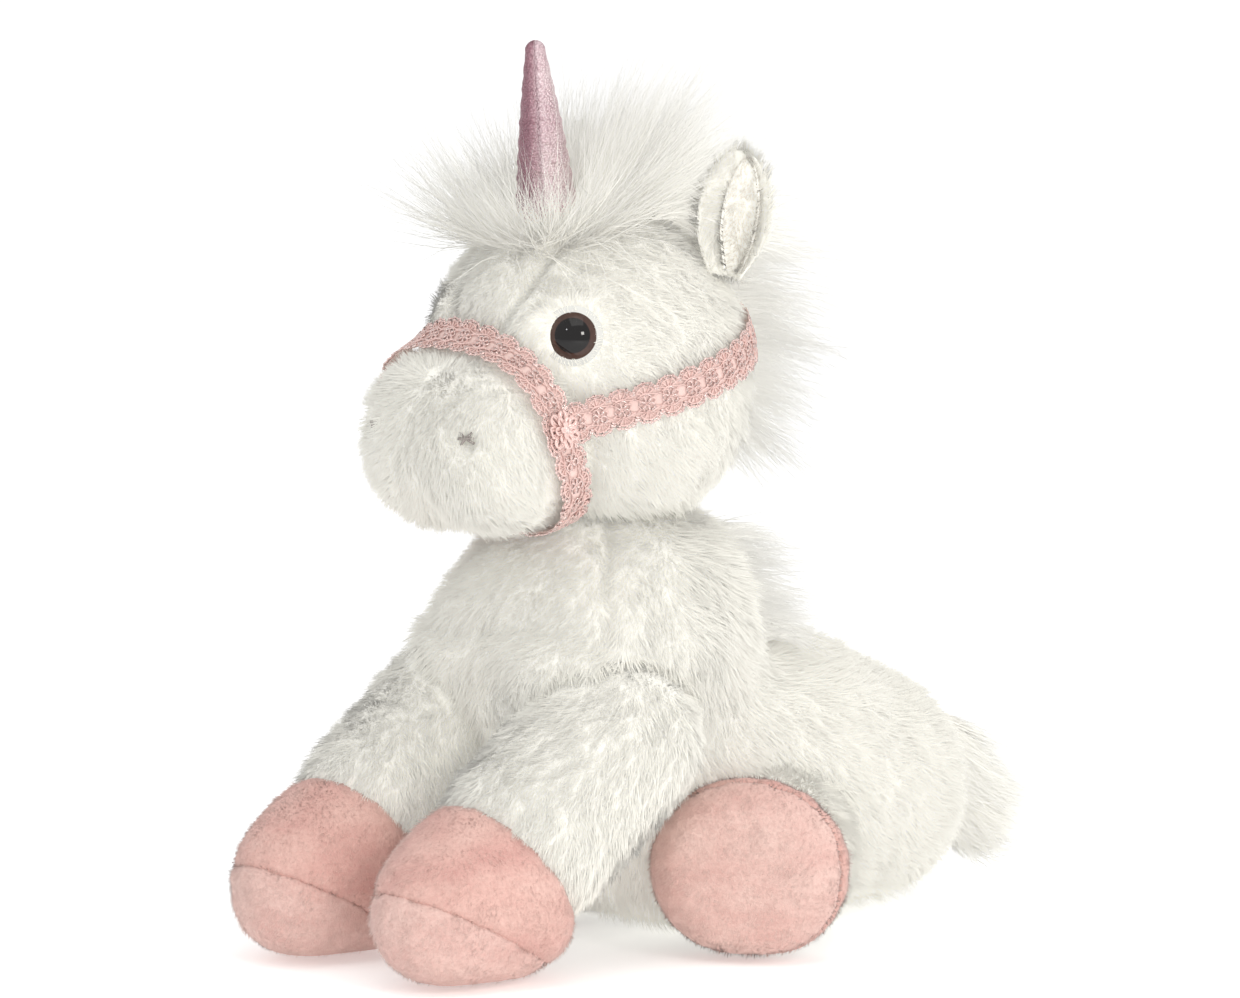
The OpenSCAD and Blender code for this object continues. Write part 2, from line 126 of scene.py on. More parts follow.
def capsule(p, a, b, ra, rb):
    pa, ba = p - a, b - a
    h = np.clip(pa @ ba / (ba @ ba), 0, 1)
    return np.linalg.norm(pa - h[:, None] * ba, axis=1) - (ra + (rb - ra) * h)


def soft_min(a, b, k):
    h = np.maximum(k - np.abs(a - b), 0) / k
    return np.minimum(a, b) - h * h * k / 4


def soft_max(a, b, k):
    return -soft_min(-a, -b, k)


def beyond(p, c, n):
    """Distance past the plane through c with normal n."""
    return (p - c) @ unit(n)


def above_floor(d, p, k=7):
    return soft_max(d, FLOOR_GAP - p[:, 2], k)


def box_ball(p, a, b, r, power):
    """A capsule whose round is a little square, from a to b along X."""
    q = np.abs(p - np.clip(p, np.minimum(a, b), np.maximum(a, b)))
    return (q ** power).sum(1) ** (1 / power) - r


def both(p):
    """The points folded onto the left side."""
    return np.column_stack([np.abs(p[:, 0]), p[:, 1:]])


def sided(way, p):
    """way at each point, mirrored for the points on the right side."""
    return np.where(p[:, :1] < 0, mirror(way), way)


def head_field(p):
    q = both(p)
    d = soft_min(ball(p, SKULL, 47), capsule(p, mirror(CHEEK), CHEEK, 36, 36), 14)
    d = soft_min(d, ball(q, SKULL + 38.5 * direction(30, 13), 13), 8)
    d = soft_max(d, -ball(q, EYE + 10.4 * EYE_DIR, 13), 5)
    d = soft_max(d, -ball(p, NECK, 39.5), 3)
    return d + PILE_H


def muzzle_field(p):
    """The muzzle, with the fillet where it meets the forehead."""
    d = soft_min(box_ball(p, mirror(MUZZLE), MUZZLE, 27, 2.35), ball(p, SKULL, 45.3), 16)
    return soft_max(d, ball(p, MUZZLE * (0, 1, 1), 40), 4) + PILE_H


def torso_hull(p):
    """The torso before the sockets of the legs and tail are cut."""
    q = both(p)
    barrel = capsule(p, BELLY, RUMP, 42, 40)
    dome = soft_min(ball(p, BREAST, 44), ball(p, NECK, 41), 18)
    dome = soft_min(dome, ball(q, at(25, -45, 84), 28), 16)
    dome = soft_min(dome, ball(p, at(0, 32, 54), 38), 20)
    dome = soft_min(dome, ball(q, at(9, -22, 98), 38), 12)
    return soft_min(barrel, dome, 24) + PILE_H


def torso_field(p):
    q = both(p)
    d = torso_hull(p)
    d = soft_max(d, -ball(q, SHOULDER, 23.5), 1.2)
    d = soft_max(d, -ball(q, HIP, 23.5), 1.2)
    d = soft_max(d, -ball(p, TAIL_ROOT, 8), 3)
    return above_floor(d, p)


def sleeve_field(p):
    d = capsule(p, SHOULDER, ANKLE, 27, 28.5) + PILE_H
    d = soft_max(d, beyond(p, CUFF + 1.0 * LEG_AXIS, LEG_AXIS), 5)
    return above_floor(d, p)


def hoof_field(p):
    d = soft_min(capsule(p, at(33, -92, 23), at(33, -110, 23), 24.4, 24), ball(p, ANKLE, 26.5), 14) + 0.8
    d = soft_max(d, -beyond(p, CUFF - 1.5 * LEG_AXIS, LEG_AXIS), 5)
    return above_floor(d, p)


def toe_split(p):
    slope = math.radians(27)
    return beyond(p, at(0, -101, 15), (0, math.sin(slope), math.cos(slope)))


def front_upper_field(p):
    return soft_max(hoof_field(p), -1.8 - toe_split(p), 2.2)


def front_sole_field(p):
    return soft_max(hoof_field(p), toe_split(p) - 1.4, 2.2)


def thigh_field(p):
    d = capsule(p, HIP, HIP + 20 * HIND_DIR, 27, 28.5) + PILE_H
    d = soft_max(d, beyond(p, HIP + 30 * HIND_DIR, HIND_DIR), 6)
    return above_floor(d, p)


def hind_hoof_field(p):
    q = p - HIND_HOOF - 1.2 * HIND_SIDE
    a = q @ HIND_DIR
    r = np.hypot(q @ HIND_SIDE / 1.1, q[:, 2])
    out = np.column_stack([r - 18, np.abs(a - 0.75) - 0.75])
    d = np.linalg.norm(np.maximum(out, 0), axis=1) + np.minimum(out.max(1), 0) - 11 + 0.8
    return above_floor(d, p, 5)


def hind_split(p):
    return beyond(p, HIND_HOOF + 4 * HIND_DIR, HIND_DIR)


def hind_rim_field(p):
    return soft_max(hind_hoof_field(p), hind_split(p) - 1.5, 2)


def hind_sole_field(p):
    return soft_max(hind_hoof_field(p), -1.5 - hind_split(p), 2)


def tail_field(p):
    return above_floor(capsule(p, TAIL_ROOT + (0, -4, 7), TAIL_TIP + (0, -4, 6), 12, 7.5), p)


# ---------------------------------------------------------------- meshes


def new_mesh(name, verts, faces):
    """A mesh object from millimetre points. faces is an array or a list of arrays of equal rows."""
    blocks = faces if isinstance(faces, list) else [faces]
    sizes = np.concatenate([np.full(len(f), f.shape[1]) for f in blocks])
    flat = np.concatenate([f.ravel() for f in blocks]).astype(np.int32)
    me = bpy.data.meshes.new(name)
    me.vertices.add(len(verts))
    me.vertices.foreach_set("co", (np.asarray(verts, float) * MM).astype(np.float32).ravel())
    me.loops.add(len(flat))
    me.loops.foreach_set("vertex_index", flat)
    me.polygons.add(len(sizes))
    me.polygons.foreach_set("loop_start", (np.cumsum(sizes) - sizes).astype(np.int32))
    me.update(calc_edges=True)
    me.validate()
    o = bpy.data.objects.new(name, me)
    bpy.context.scene.collection.objects.link(o)
    return o


def smooth(o):
    o.data.polygons.foreach_set("use_smooth", np.ones(len(o.data.polygons), bool))
    o.data.update()
    return o


def gradient(field, p, eps=0.15):
    g = np.empty_like(p)
    for k in range(3):
        e = np.zeros(3)
        e[k] = eps
        g[:, k] = (field(p + e) - field(p - e)) / (2 * eps)
    return g


def onto(field, p, level=0.0, rounds=6):
    """Points moved along the field's slope until the field is level there."""
    for _ in range(rounds):
        g = gradient(field, p)
        p = p - np.clip(field(p) - level, -3, 3)[:, None] * g / np.maximum((g * g).sum(1), 0.2)[:, None]
    return p


def net(field, low, high, step):
    """Closed quad mesh of the surface where the field is zero, by surface nets."""
    low, high = np.array(low, float), np.array(high, float)
    count = np.ceil((high - low) / step).astype(int) + 1
    axes = [low[k] + step * np.arange(count[k]) for k in range(3)]
    grid = np.stack(np.meshgrid(*axes, indexing="ij"), -1).reshape(-1, 3)
    inside = (field(grid) < 0).reshape(count)
    total = np.zeros(count - 1, int)
    for i in (0, 1):
        for j in (0, 1):
            for k in (0, 1):
                total += inside[i:count[0] - 1 + i, j:count[1] - 1 + j, k:count[2] - 1 + k]
    mixed = (total > 0) & (total < 8)
    index = np.full(count - 1, -1)
    index[mixed] = np.arange(mixed.sum())
    verts = low + (np.argwhere(mixed) + 0.5) * step
    quads = []
    for axis in range(3):
        u, v = [(1, 2), (2, 0), (0, 1)][axis]
        a = np.moveaxis(inside, (axis, u, v), (0, 1, 2))
        ids = np.moveaxis(index, (axis, u, v), (0, 1, 2))
        enter = a[:-1] != a[1:]
        i, j, k = np.nonzero(enter[:, 1:-1, 1:-1])
        j, k = j + 1, k + 1
        ring = np.stack([ids[i, j - 1, k - 1], ids[i, j, k - 1], ids[i, j, k], ids[i, j - 1, k]], 1)
        flip = ~a[i, j, k]
        ring[flip] = ring[flip][:, ::-1]
        quads.append(ring)
    quads = np.concatenate(quads)
    edges = np.concatenate([quads[:, [0, 1]], quads[:, [1, 2]], quads[:, [2, 3]], quads[:, [3, 0]]])
    for _ in range(4):
        mean, n = np.zeros_like(verts), np.zeros(len(verts))
        for a, b in ((0, 1), (1, 0)):
            np.add.at(mean, edges[:, a], verts[edges[:, b]])
            np.add.at(n, edges[:, a], 1)
        verts = onto(field, mean / n[:, None], rounds=3)
    return onto(field, verts), quads


def read_points(o):
    co = np.empty(len(o.data.vertices) * 3, np.float32)
    o.data.vertices.foreach_get("co", co)
    return co.reshape(-1, 3).astype(float) / MM


def write_points(o, p):
    o.data.vertices.foreach_set("co", (p * MM).astype(np.float32).ravel())
    o.data.update()


def triangles(o):
    o.data.calc_loop_triangles()
    t = np.empty(len(o.data.loop_triangles) * 3, np.int32)
    o.data.loop_triangles.foreach_get("vertices", t)
    return t.reshape(-1, 3)


def point_normals(p, t):
    face = np.cross(p[t[:, 1]] - p[t[:, 0]], p[t[:, 2]] - p[t[:, 0]])
    n = np.zeros_like(p)
    for k in range(3):
        np.add.at(n, t[:, k], face)
    return unit(n)


def baked(o):
    """o with its modifiers applied."""
    dg = bpy.context.evaluated_depsgraph_get()
    me = bpy.data.meshes.new_from_object(o.evaluated_get(dg), preserve_all_data_layers=True, depsgraph=dg)
    o.modifiers.clear()
    o.data = me
    return o


def puff(o, pinned, swell, cap):
    """Inflates o as cloth held at its pinned points, then scales the swelling to about swell."""
    start = read_points(o)
    group = o.vertex_groups.new(name="pin")
    for weight in (0.35, 1.0):
        chosen = np.nonzero(pinned >= weight)[0].tolist()
        if chosen:
            group.add(chosen, weight, "REPLACE")
    mod = o.modifiers.new("Cloth", "CLOTH")
    s = mod.settings
    s.quality = 4
    s.mass = 0.0003
    s.tension_stiffness = s.compression_stiffness = 0.02
    s.shear_stiffness = 0.01
    s.bending_stiffness = 0.001
    s.use_pressure = True
    s.uniform_pressure_force = 20
    s.effector_weights.gravity = 0
    s.vertex_group_mass = "pin"
    mod.collision_settings.use_collision = False
    scene = bpy.context.scene
    scene.frame_start, scene.frame_end = 1, 20
    mod.point_cache.frame_start, mod.point_cache.frame_end = 1, 20
    for f in range(1, 21):
        scene.frame_set(f)
    baked(o)
    o.vertex_groups.clear()
    scene.frame_set(1)
    move = read_points(o) - start
    size = np.linalg.norm(move, axis=1)
    free = size[pinned < 0.3]
    scale = swell / max(np.median(free), 1e-3)
    move *= min(scale, 3.0)
    size = np.linalg.norm(move, axis=1)
    move *= np.minimum(1, cap / np.maximum(size, 1e-6))[:, None]
    write_points(o, start + move)
    print(f"puff {o.name}: points {len(start)}, median {np.median(free):.2f} mm, scale {scale:.2f}", flush=True)
    return o


SWELL = 1.6


def skin(name, field, low, high, step, seams=None, depth=1.6, width=1.8, swell=SWELL):
    """A padded cover: the field's surface, a little small, swollen by cloth pressure between its seams."""
    inset = lambda p: field(p) + swell
    p, quads = net(inset, low, high, step)
    o = new_mesh(name, p, quads)
    held = np.zeros(len(p))
    if seams is not None:
        held = np.where(np.abs(seams(p)) < 0.6 * step, 1.0, 0.0)
    held = np.maximum(held, np.where(p[:, 2] < FLOOR_GAP + swell + 0.6, 0.4, 0.0))
    puff(o, held, swell, 1.8 * swell)
    sub = o.modifiers.new("Subdivision", "SUBSURF")
    sub.levels = sub.render_levels = 1
    baked(o)
    p = read_points(o)
    if seams is not None:
        n = point_normals(p, triangles(o))
        p = p - n * (depth * np.exp(-(seams(p) / width) ** 2))[:, None]
    p[:, 2] = np.maximum(p[:, 2], FLOOR_GAP * 0.5)
    write_points(o, p)
    return smooth(o)


def reflected(o, name):
    """A mirror copy of o on the right side."""
    me = o.data.copy()
    me.name = name
    c = bpy.data.objects.new(name, me)
    bpy.context.scene.collection.objects.link(c)
    write_points(c, mirror(read_points(o)))
    me.flip_normals()
    return c


# ---------------------------------------------------------------- strands


def scatter(o, density, seed):
    """Even random points on a mesh, with their normals."""
    rng = np.random.default_rng(seed)
    p, t = read_points(o), triangles(o)
    n = point_normals(p, t)
    area = np.linalg.norm(np.cross(p[t[:, 1]] - p[t[:, 0]], p[t[:, 2]] - p[t[:, 0]]), axis=1) / 2
    count = int(area.sum() * density)
    pick = np.searchsorted(np.cumsum(area) / area.sum(), (np.arange(count) + rng.random(count)) / count)
    pick = np.minimum(pick, len(t) - 1)
    a, b = rng.random(count), rng.random(count)
    flip = a + b > 1
    a[flip], b[flip] = 1 - a[flip], 1 - b[flip]
    w = np.column_stack([1 - a - b, a, b])
    where = (p[t[pick]] * w[:, :, None]).sum(1)
    return where, unit((n[t[pick]] * w[:, :, None]).sum(1)), rng


def sway(p, scale, seed):
    """Smooth pseudo-random number from -1 to 1 at each point."""
    rng = np.random.default_rng(seed)
    k, phase = rng.normal(size=(6, 3)) / scale, rng.random(6) * 2 * math.pi
    return np.sin(p @ k.T + phase).sum(1) / 3.2


def clumps(p, spacing, seed):
    """Nearest jittered lattice point to each point, and four random numbers for it."""
    rng = np.random.default_rng(seed)
    table = rng.random((8192, 7))
    cell = np.floor(p / spacing).astype(np.int64)
    best, near, code = np.full(len(p), 1e9), np.zeros_like(p), np.zeros(len(p), np.int64)
    for i in (-1, 0, 1):
        for j in (-1, 0, 1):
            for k in (-1, 0, 1):
                c = cell + (i, j, k)
                h = (c[:, 0] * 73856093 ^ c[:, 1] * 19349663 ^ c[:, 2] * 83492791) % 8192
                q = (c + table[h][:, :3]) * spacing
                d = ((q - p) ** 2).sum(1)
                closer = d < best
                best[closer], near[closer], code[closer] = d[closer], q[closer], h[closer]
    return near, table[code][:, 3:]


def turned(v, axis, angle):
    c, s = np.cos(angle)[:, None], np.sin(angle)[:, None]
    return v * c + np.cross(axis, v) * s + axis * (axis * v).sum(1, keepdims=True) * (1 - c)


def strand_mesh(name, line, side, radius, tint, facing, body, mat, limit, taper, flat):
    """Closed three-sided tapering strands along line (strand, ring, xyz), split into pieces of limited size.
    They are shaded partly as the soft surface that they make, which faces along facing."""
    count, rings = line.shape[0], line.shape[1] - 1
    line[:, :, 2] = np.maximum(line[:, :, 2], FLOOR_GAP + 0.4)
    made = []
    parts = max(1, math.ceil(count / limit))
    order = np.argsort(line[:, 0, 2] + 0.3 * line[:, 0, 1], kind="stable")
    for part, chosen in enumerate(np.array_split(order, parts)):
        ln, sd, rd, fc = line[chosen], side[chosen], radius[chosen], facing[chosen]
        n = len(chosen)
        along = np.empty_like(ln)
        along[:, :-1] = unit(ln[:, 1:] - ln[:, :-1])
        along[:, -1] = along[:, -2]
        verts = np.empty((n, 3 * rings + 1, 3))
        fade = np.empty((n, 3 * rings + 1))
        look = np.empty_like(verts)
        for r in range(rings):
            up = unit(np.cross(sd, along[:, r]))
            w = (rd * taper[r])[:, None]
            for j, (a, b) in enumerate(((1, -0.5), (-1, -0.5), (0, 1.0))):
                spoke = a * sd + b * flat * up
                verts[:, 3 * r + j] = ln[:, r] + w * spoke
                look[:, 3 * r + j] = unit(fc + 0.3 * unit(spoke))
                fade[:, 3 * r + j] = r / rings
        verts[:, 3 * rings] = ln[:, rings]
        fade[:, 3 * rings] = 1
        look[:, 3 * rings] = fc
        quads, tris = [], [(2, 1, 0)]
        for r in range(rings - 1):
            for j in range(3):
                k = (j + 1) % 3
                quads.append((3 * r + j, 3 * r + k, 3 * r + 3 + k, 3 * r + 3 + j))
        last = 3 * (rings - 1)
        for j in range(3):
            tris.append((last + j, last + (j + 1) % 3, 3 * rings))
        base = (np.arange(n) * (3 * rings + 1))[:, None, None]
        blocks = [(base + np.array(tris)[None]).reshape(-1, 3)]
        if quads:
            blocks.append((base + np.array(quads)[None]).reshape(-1, 4))
        o = new_mesh(name if parts == 1 else f"{name}_{part + 1}", verts.reshape(-1, 3), blocks)
        for key, value in (("along", fade.ravel()), ("tint", np.repeat(tint[chosen], 3 * rings + 1))):
            o.data.attributes.new(key, "FLOAT", "POINT").data.foreach_set("value", value.astype(np.float32))
        smooth(o)
        o.data.normals_split_custom_set_from_vertices(look.reshape(-1, 3))
        o.data.materials.append(mat)
        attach(o, body)
        made.append(o)
    return made


def pile(name, o, body, mat, density, length, comb, keep=None, seed=1, width=0.18,
         lean=(0.8, 1.15), clump=(3.4, 0.3), ragged=0.26, facing=None):
    """Short plush pile on o. comb gives the way it is brushed, keep the share of strands that grow at a point."""
    root, n, rng = scatter(o, density, seed)
    if keep is not None:
        grown = rng.random(len(root)) < keep(root, n)
        root, n = root[grown], n[grown]
    tint = rng.random(len(root))
    way = comb(root, n)
    way = unit(way - (way * n).sum(1)[:, None] * n)
    near, luck = clumps(root, clump[0], seed + 50)
    big, big_luck = clumps(root, clump[0] * 2.6, seed + 60)
    pull = near - root
    pull -= (pull * n).sum(1)[:, None] * n
    angle = 0.55 * sway(root, 9.0, seed + 3) + 0.7 * (big_luck[:, 0] - 0.5) + 0.5 * (luck[:, 0] - 0.5)
    angle += rng.normal(size=len(root)) * 0.16
    way = turned(way, n, angle)
    size = (length(root) if callable(length) else np.full(len(root), float(length)))
    size = size * (1 + ragged * (luck[:, 1] - 0.5) * 1.6) * rng.uniform(0.75, 1.15, len(root))
    tilt = lean[0] + (lean[1] - lean[0]) * (0.5 * luck[:, 2] + 0.5 * big_luck[:, 1]) + rng.normal(size=len(root)) * 0.06
    tilt = np.clip(tilt, 0.1, 1.32)[:, None]
    rise, run = np.cos(tilt), np.sin(tilt)
    tip = root + size[:, None] * (n * rise * 0.95 + way * run) + pull * clump[1]
    tip += rng.normal(size=tip.shape) * 0.3
    line = np.stack([root - n * 0.7, tip], 1)
    side = unit(np.cross(way, n))
    radius = width * rng.uniform(0.75, 1.25, len(root)) * (size / size.mean()) ** 0.5
    lit = n if facing is None else facing(root, n)
    return strand_mesh(name, line, side, radius, 0.6 * tint + 0.4 * luck[:, 3], lit, body, mat, 45000, (1,), 0.75)


def hair(name, root, n, start, end_way, length, seed, body, rings=3, width=0.13, curl=3.0, clump=(8, 0.4),
         mat=None):
    """Long loose hair from root points, setting off along start and bending towards end_way."""
    rng = np.random.default_rng(seed)
    count = len(root)
    near, luck = clumps(root, clump[0], seed + 5)
    length = length * rng.uniform(0.6, 1.08, count) * (0.8 + 0.4 * luck[:, 1])
    lock = unit(luck[:, [0, 2, 3]] - 0.5)
    stray = rng.normal(size=(count, 3))
    line = np.empty((count, rings + 1, 3))
    phase = rng.random(count) * 2 * math.pi
    start, end_way = unit(start), unit(end_way)
    across = unit(np.cross(start, end_way + 0.01))
    for r in range(rings + 1):
        f = r / rings
        offset = length[:, None] * f * (start * (1 - 0.5 * f) + end_way * 0.5 * f)
        offset += length[:, None] * f ** 1.5 * (0.14 * lock + 0.07 * stray)
        offset += (near - root) * clump[1] * f * 0.8
        offset += across * (np.sin(phase + 3.2 * f) - np.sin(phase))[:, None] * curl * f
        line[:, r] = root + offset
    line[:, 0] -= start * 1.0
    over = np.maximum(line[..., 2] - HAIR_TOP, 0)
    line[..., 2] += 9 * (1 - np.exp(-over / 9)) - over
    side = unit(np.cross(line[:, -1] - line[:, 0], rng.normal(size=(count, 3))))
    radius = width * rng.uniform(0.7, 1.3, count)
    tint = 0.6 * rng.random(count) + 0.4 * luck[:, 3]
    return strand_mesh(name, line, side, radius, tint, n, body, mat or LONG_PILE, 12000,
                       np.linspace(1, 0.3, rings), 0.9)


# ---------------------------------------------------------------- materials


class Nodes:
    """Short calls for a node tree round one Principled shader."""

    def __init__(self, name):
        self.mat = bpy.data.materials.new(name)
        self.mat.use_nodes = True
        self.tree = self.mat.node_tree
        self.shader = self.tree.nodes["Principled BSDF"]
        self.coords = self.add("ShaderNodeTexCoord").outputs["Object"]

    def add(self, kind, links=None, **values):
        node = self.tree.nodes.new(kind)
        for key, value in values.items():
            if key in node.inputs:
                node.inputs[key].default_value = value
            else:
                setattr(node, key, value)
        for key, value in (links or {}).items():
            self.tree.links.new(value, node.inputs[key])
        return node

    def noise(self, scale, detail=3.0, rough=0.6, vector=None, stretch=None):
        vector = vector or self.coords
        if stretch is not None:
            vector = self.add("ShaderNodeMapping", {"Vector": vector}, Scale=stretch).outputs[0]
        node = self.add("ShaderNodeTexNoise", {"Vector": vector})
        node.inputs["Scale"].default_value = scale
        node.inputs["Detail"].default_value = detail
        node.inputs["Roughness"].default_value = rough
        return node.outputs["Fac"]

    def cells(self, scale, feature="F1"):
        node = self.add("ShaderNodeTexVoronoi", {"Vector": self.coords}, feature=feature)
        node.inputs["Scale"].default_value = scale
        return node.outputs["Distance"]

    def attribute(self, key):
        return self.add("ShaderNodeAttribute", attribute_name=key).outputs["Fac"]

    def ramp(self, fac, *stops):
        node = self.add("ShaderNodeValToRGB", {"Fac": fac})
        band = node.color_ramp.elements
        while len(band) < len(stops):
            band.new(0.5)
        for element, (place, colour) in zip(band, stops):
            element.position = place
            element.color = (*colour, 1)
        return node.outputs["Color"]

    def mix(self, fac, a, b, blend="MIX"):
        node = self.tree.nodes.new("ShaderNodeMix")
        node.data_type = "RGBA"
        node.blend_type = blend
        for socket, value in ((node.inputs[0], fac), (node.inputs[6], a), (node.inputs[7], b)):
            if isinstance(value, bpy.types.NodeSocket):
                self.tree.links.new(value, socket)
            else:
                socket.default_value = (*value, 1) if hasattr(value, "__len__") else value
        return node.outputs[2]

    def math(self, operation, a, b=0.5):
        node = self.tree.nodes.new("ShaderNodeMath")
        node.operation = operation
        for socket, value in ((node.inputs[0], a), (node.inputs[1], b)):
            if isinstance(value, bpy.types.NodeSocket):
                self.tree.links.new(value, socket)
            else:
                socket.default_value = value
        return node.outputs[0]

    def bump(self, height, distance, strength=1.0):
        node = self.add("ShaderNodeBump", {"Height": height})
        node.inputs["Strength"].default_value = strength
        node.inputs["Distance"].default_value = distance
        self.tree.links.new(node.outputs[0], self.shader.inputs["Normal"])

    def base(self, colour):
        self.tree.links.new(colour, self.shader.inputs["Base Color"])

    def roughness(self, value):
        self.tree.links.new(value, self.shader.inputs["Roughness"])

    def fixed(self, **values):
        for key, value in values.items():
            self.shader.inputs[key.replace("_", " ")].default_value = value
        return self.mat


def linear(r, g, b):
    """Scene colour of an sRGB colour given from 0 to 255."""
    return tuple(((c / 255 + 0.055) / 1.055) ** 2.4 if c > 10 else c / 255 / 12.92 for c in (r, g, b))


def pile_material(name, root, middle, tip, painted_glow=0.1):
    m = Nodes(name)
    # Darker roots and lighter tips along each strand: painted shade down in the pile.
    tone = m.ramp(m.attribute("along"), (0.0, root), (0.45, middle), (1.0, tip))
    shade = m.ramp(m.attribute("tint"), (0.0, (0.95, 0.95, 0.95)), (0.6, (0.985, 0.985, 0.98)), (1.0, (1, 1, 1)))
    patch = m.ramp(m.noise(45, 3), (0.3, (0.95, 0.95, 0.94)), (0.7, (1, 1, 1)))
    m.base(m.mix(1.0, m.mix(1.0, tone, shade, "MULTIPLY"), patch, "MULTIPLY"))
    m.roughness(m.ramp(m.noise(300), (0.2, (0.72,) * 3), (0.8, (0.95,) * 3)))
    # The emission is a painted glow: painted light that lifts the self-shadowed pile, standing in for light scattered
    # through white fibres.
    return m.fixed(Sheen_Weight=0.25, Sheen_Roughness=0.5, Specular_IOR_Level=0.25,
                   Emission_Color=(1, 0.985, 0.94, 1), Emission_Strength=painted_glow)


def backing_material(name, dark, light):
    m = Nodes(name)
    m.base(m.mix(m.noise(420, 4, 0.7), dark, light))
    m.bump(m.noise(700, 4, 0.75), 0.0009)
    # The emission is painted light that lifts the shaded gaps between strands; the off-white, a little darker than the
    # pile tips, is painted shade for the depth under the fur.
    return m.fixed(Roughness=0.92, Sheen_Weight=0.3, Specular_IOR_Level=0.2,
                   Emission_Color=(1, 0.985, 0.94, 1), Emission_Strength=0.2)


def velour_material(name, dark, light, pale):
    m = Nodes(name)
    brushed = m.noise(55, 4, 0.65, stretch=(1.0, 0.45, 1.6))
    fine = m.noise(900, 3, 0.7)
    tone = m.ramp(brushed, (0.25, dark), (0.5, light), (0.78, pale))
    m.base(m.mix(0.35, tone, m.ramp(fine, (0.25, dark), (0.75, pale))))
    m.bump(m.math("ADD", m.noise(1100, 3, 0.8), m.math("MULTIPLY", brushed, 0.8)), 0.0005, 0.8)
    m.roughness(m.ramp(brushed, (0.2, (0.95,) * 3), (0.8, (0.75,) * 3)))
    return m.fixed(Sheen_Weight=0.3, Sheen_Roughness=0.4, Sheen_Tint=(1.0, 0.86, 0.85, 1), Specular_IOR_Level=0.2)


def thread_material(name, dark, light, metallic, rough):
    m = Nodes(name)
    m.base(m.mix(m.noise(800, 2), dark, light))
    m.roughness(m.ramp(m.noise(1500, 2), (0.3, (rough * 0.6,) * 3), (0.7, (min(1, rough * 1.3),) * 3)))
    m.bump(m.noise(2500, 2), 0.0002, 0.6)
    return m.fixed(Metallic=metallic, Sheen_Weight=0.2)


def foil_material(name):
    m = Nodes(name)
    grain = m.cells(1500)
    glint = m.ramp(grain, (0.1, linear(250, 240, 242)), (0.45, linear(226, 204, 208)), (0.9, linear(176, 144, 154)))
    drift = m.ramp(m.noise(60, 3), (0.3, linear(188, 150, 160)), (0.7, linear(231, 210, 212)))
    foil = m.mix(0.5, glint, drift)
    # The panel share darkens one horn panel: painted shade for the side of the foil that reflects less light.
    m.base(m.mix(m.attribute("panel"), foil, m.mix(1.0, foil, linear(176, 146, 156), "MULTIPLY")))
    m.roughness(m.ramp(m.noise(250, 3), (0.3, (0.28,) * 3), (0.7, (0.5,) * 3)))
    m.bump(m.math("ADD", grain, m.noise(180, 3)), 0.0006, 0.7)
    return m.fixed(Metallic=0.75, Coat_Weight=0.15, Coat_Roughness=0.3)


def eye_material(name):
    m = Nodes(name)
    ring = m.attribute("ring")
    streak = m.noise(500, 2)
    iris = m.mix(streak, linear(52, 34, 30), linear(82, 58, 50))
    black = m.ramp(ring, (0.0, (1, 1, 1)), (0.655, (1, 1, 1)), (0.69, (0, 0, 0)), (1.0, (0, 0, 0)))
    edge = m.ramp(ring, (0.9, (1, 1, 1)), (1.0, (0.45, 0.4, 0.4)))
    m.base(m.mix(black, m.mix(1.0, iris, edge, "MULTIPLY"), (0.004, 0.003, 0.003)))
    return m.fixed(Roughness=0.04, Specular_IOR_Level=0.42)


def plain_material(name, dark, light, scale, rough=0.7, metallic=0.0):
    m = Nodes(name)
    m.base(m.mix(m.noise(scale), dark, light))
    m.bump(m.noise(scale * 3), 0.0003, 0.5)
    return m.fixed(Roughness=rough, Metallic=metallic)


# Pile colours run root, middle, tip; the last number, where given, is the strength of the painted glow.
WHITE_PILE = pile_material("white_pile", linear(240, 238, 230), linear(248, 246, 237), linear(252, 250, 241))
# The ear lining's darker colours and weaker glow are painted shade for the inside of the cupped ear.
SHADED_LINING_PILE = pile_material("lining_pile", linear(222, 217, 206), linear(234, 229, 218), linear(242, 237, 227), 0.04)
LONG_PILE = pile_material("long_pile", linear(242, 238, 228), linear(248, 246, 238), linear(252, 251, 247), 0.17)
# The mane uses the long hair colours with a much stronger glow: painted light for a mane lit brightly from behind.
GLOWING_MANE_PILE = pile_material("mane_pile", linear(242, 238, 228), linear(248, 246, 238), linear(252, 251, 247), 0.36)
NAP = pile_material("velour_nap", linear(204, 152, 145), linear(222, 180, 170), linear(238, 204, 194), 0.0)
SOLE_NAP = pile_material("sole_nap", linear(210, 164, 156), linear(228, 192, 183), linear(242, 214, 205), 0.0)
BACKING = backing_material("plush_backing", linear(236, 234, 225), linear(248, 246, 237))
VELOUR = velour_material("hoof_velour", linear(202, 150, 143), linear(218, 176, 166), linear(230, 196, 185))
SOLE = velour_material("sole_velour", linear(206, 160, 152), linear(222, 186, 177), linear(234, 206, 196))
LACE_BAND = thread_material("lace_net", linear(222, 190, 184), linear(238, 214, 206), 0.0, 0.8)
LACE_THREAD = thread_material("lace_thread", linear(220, 180, 174), linear(246, 216, 208), 0.1, 0.5)
LACE_GLINT = thread_material("lace_glitter", linear(232, 196, 192), linear(255, 240, 234), 0.85, 0.25)
FOIL = foil_material("horn_foil")
EYE_GLOSS = eye_material("eye_gloss")
STITCH = thread_material("stitch_thread", linear(128, 120, 116), linear(176, 168, 162), 0.0, 0.8)
WASHER = plain_material("washer_plastic", linear(205, 205, 200), linear(228, 228, 224), 90, 0.5)


def dress(o, mat, body, replaced=()):
    o.data.materials.clear()
    o.data.materials.append(mat)
    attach(o, body)
    if replaced:
        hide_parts(*replaced)
    return o


# ---------------------------------------------------------------- camera, floor and lights

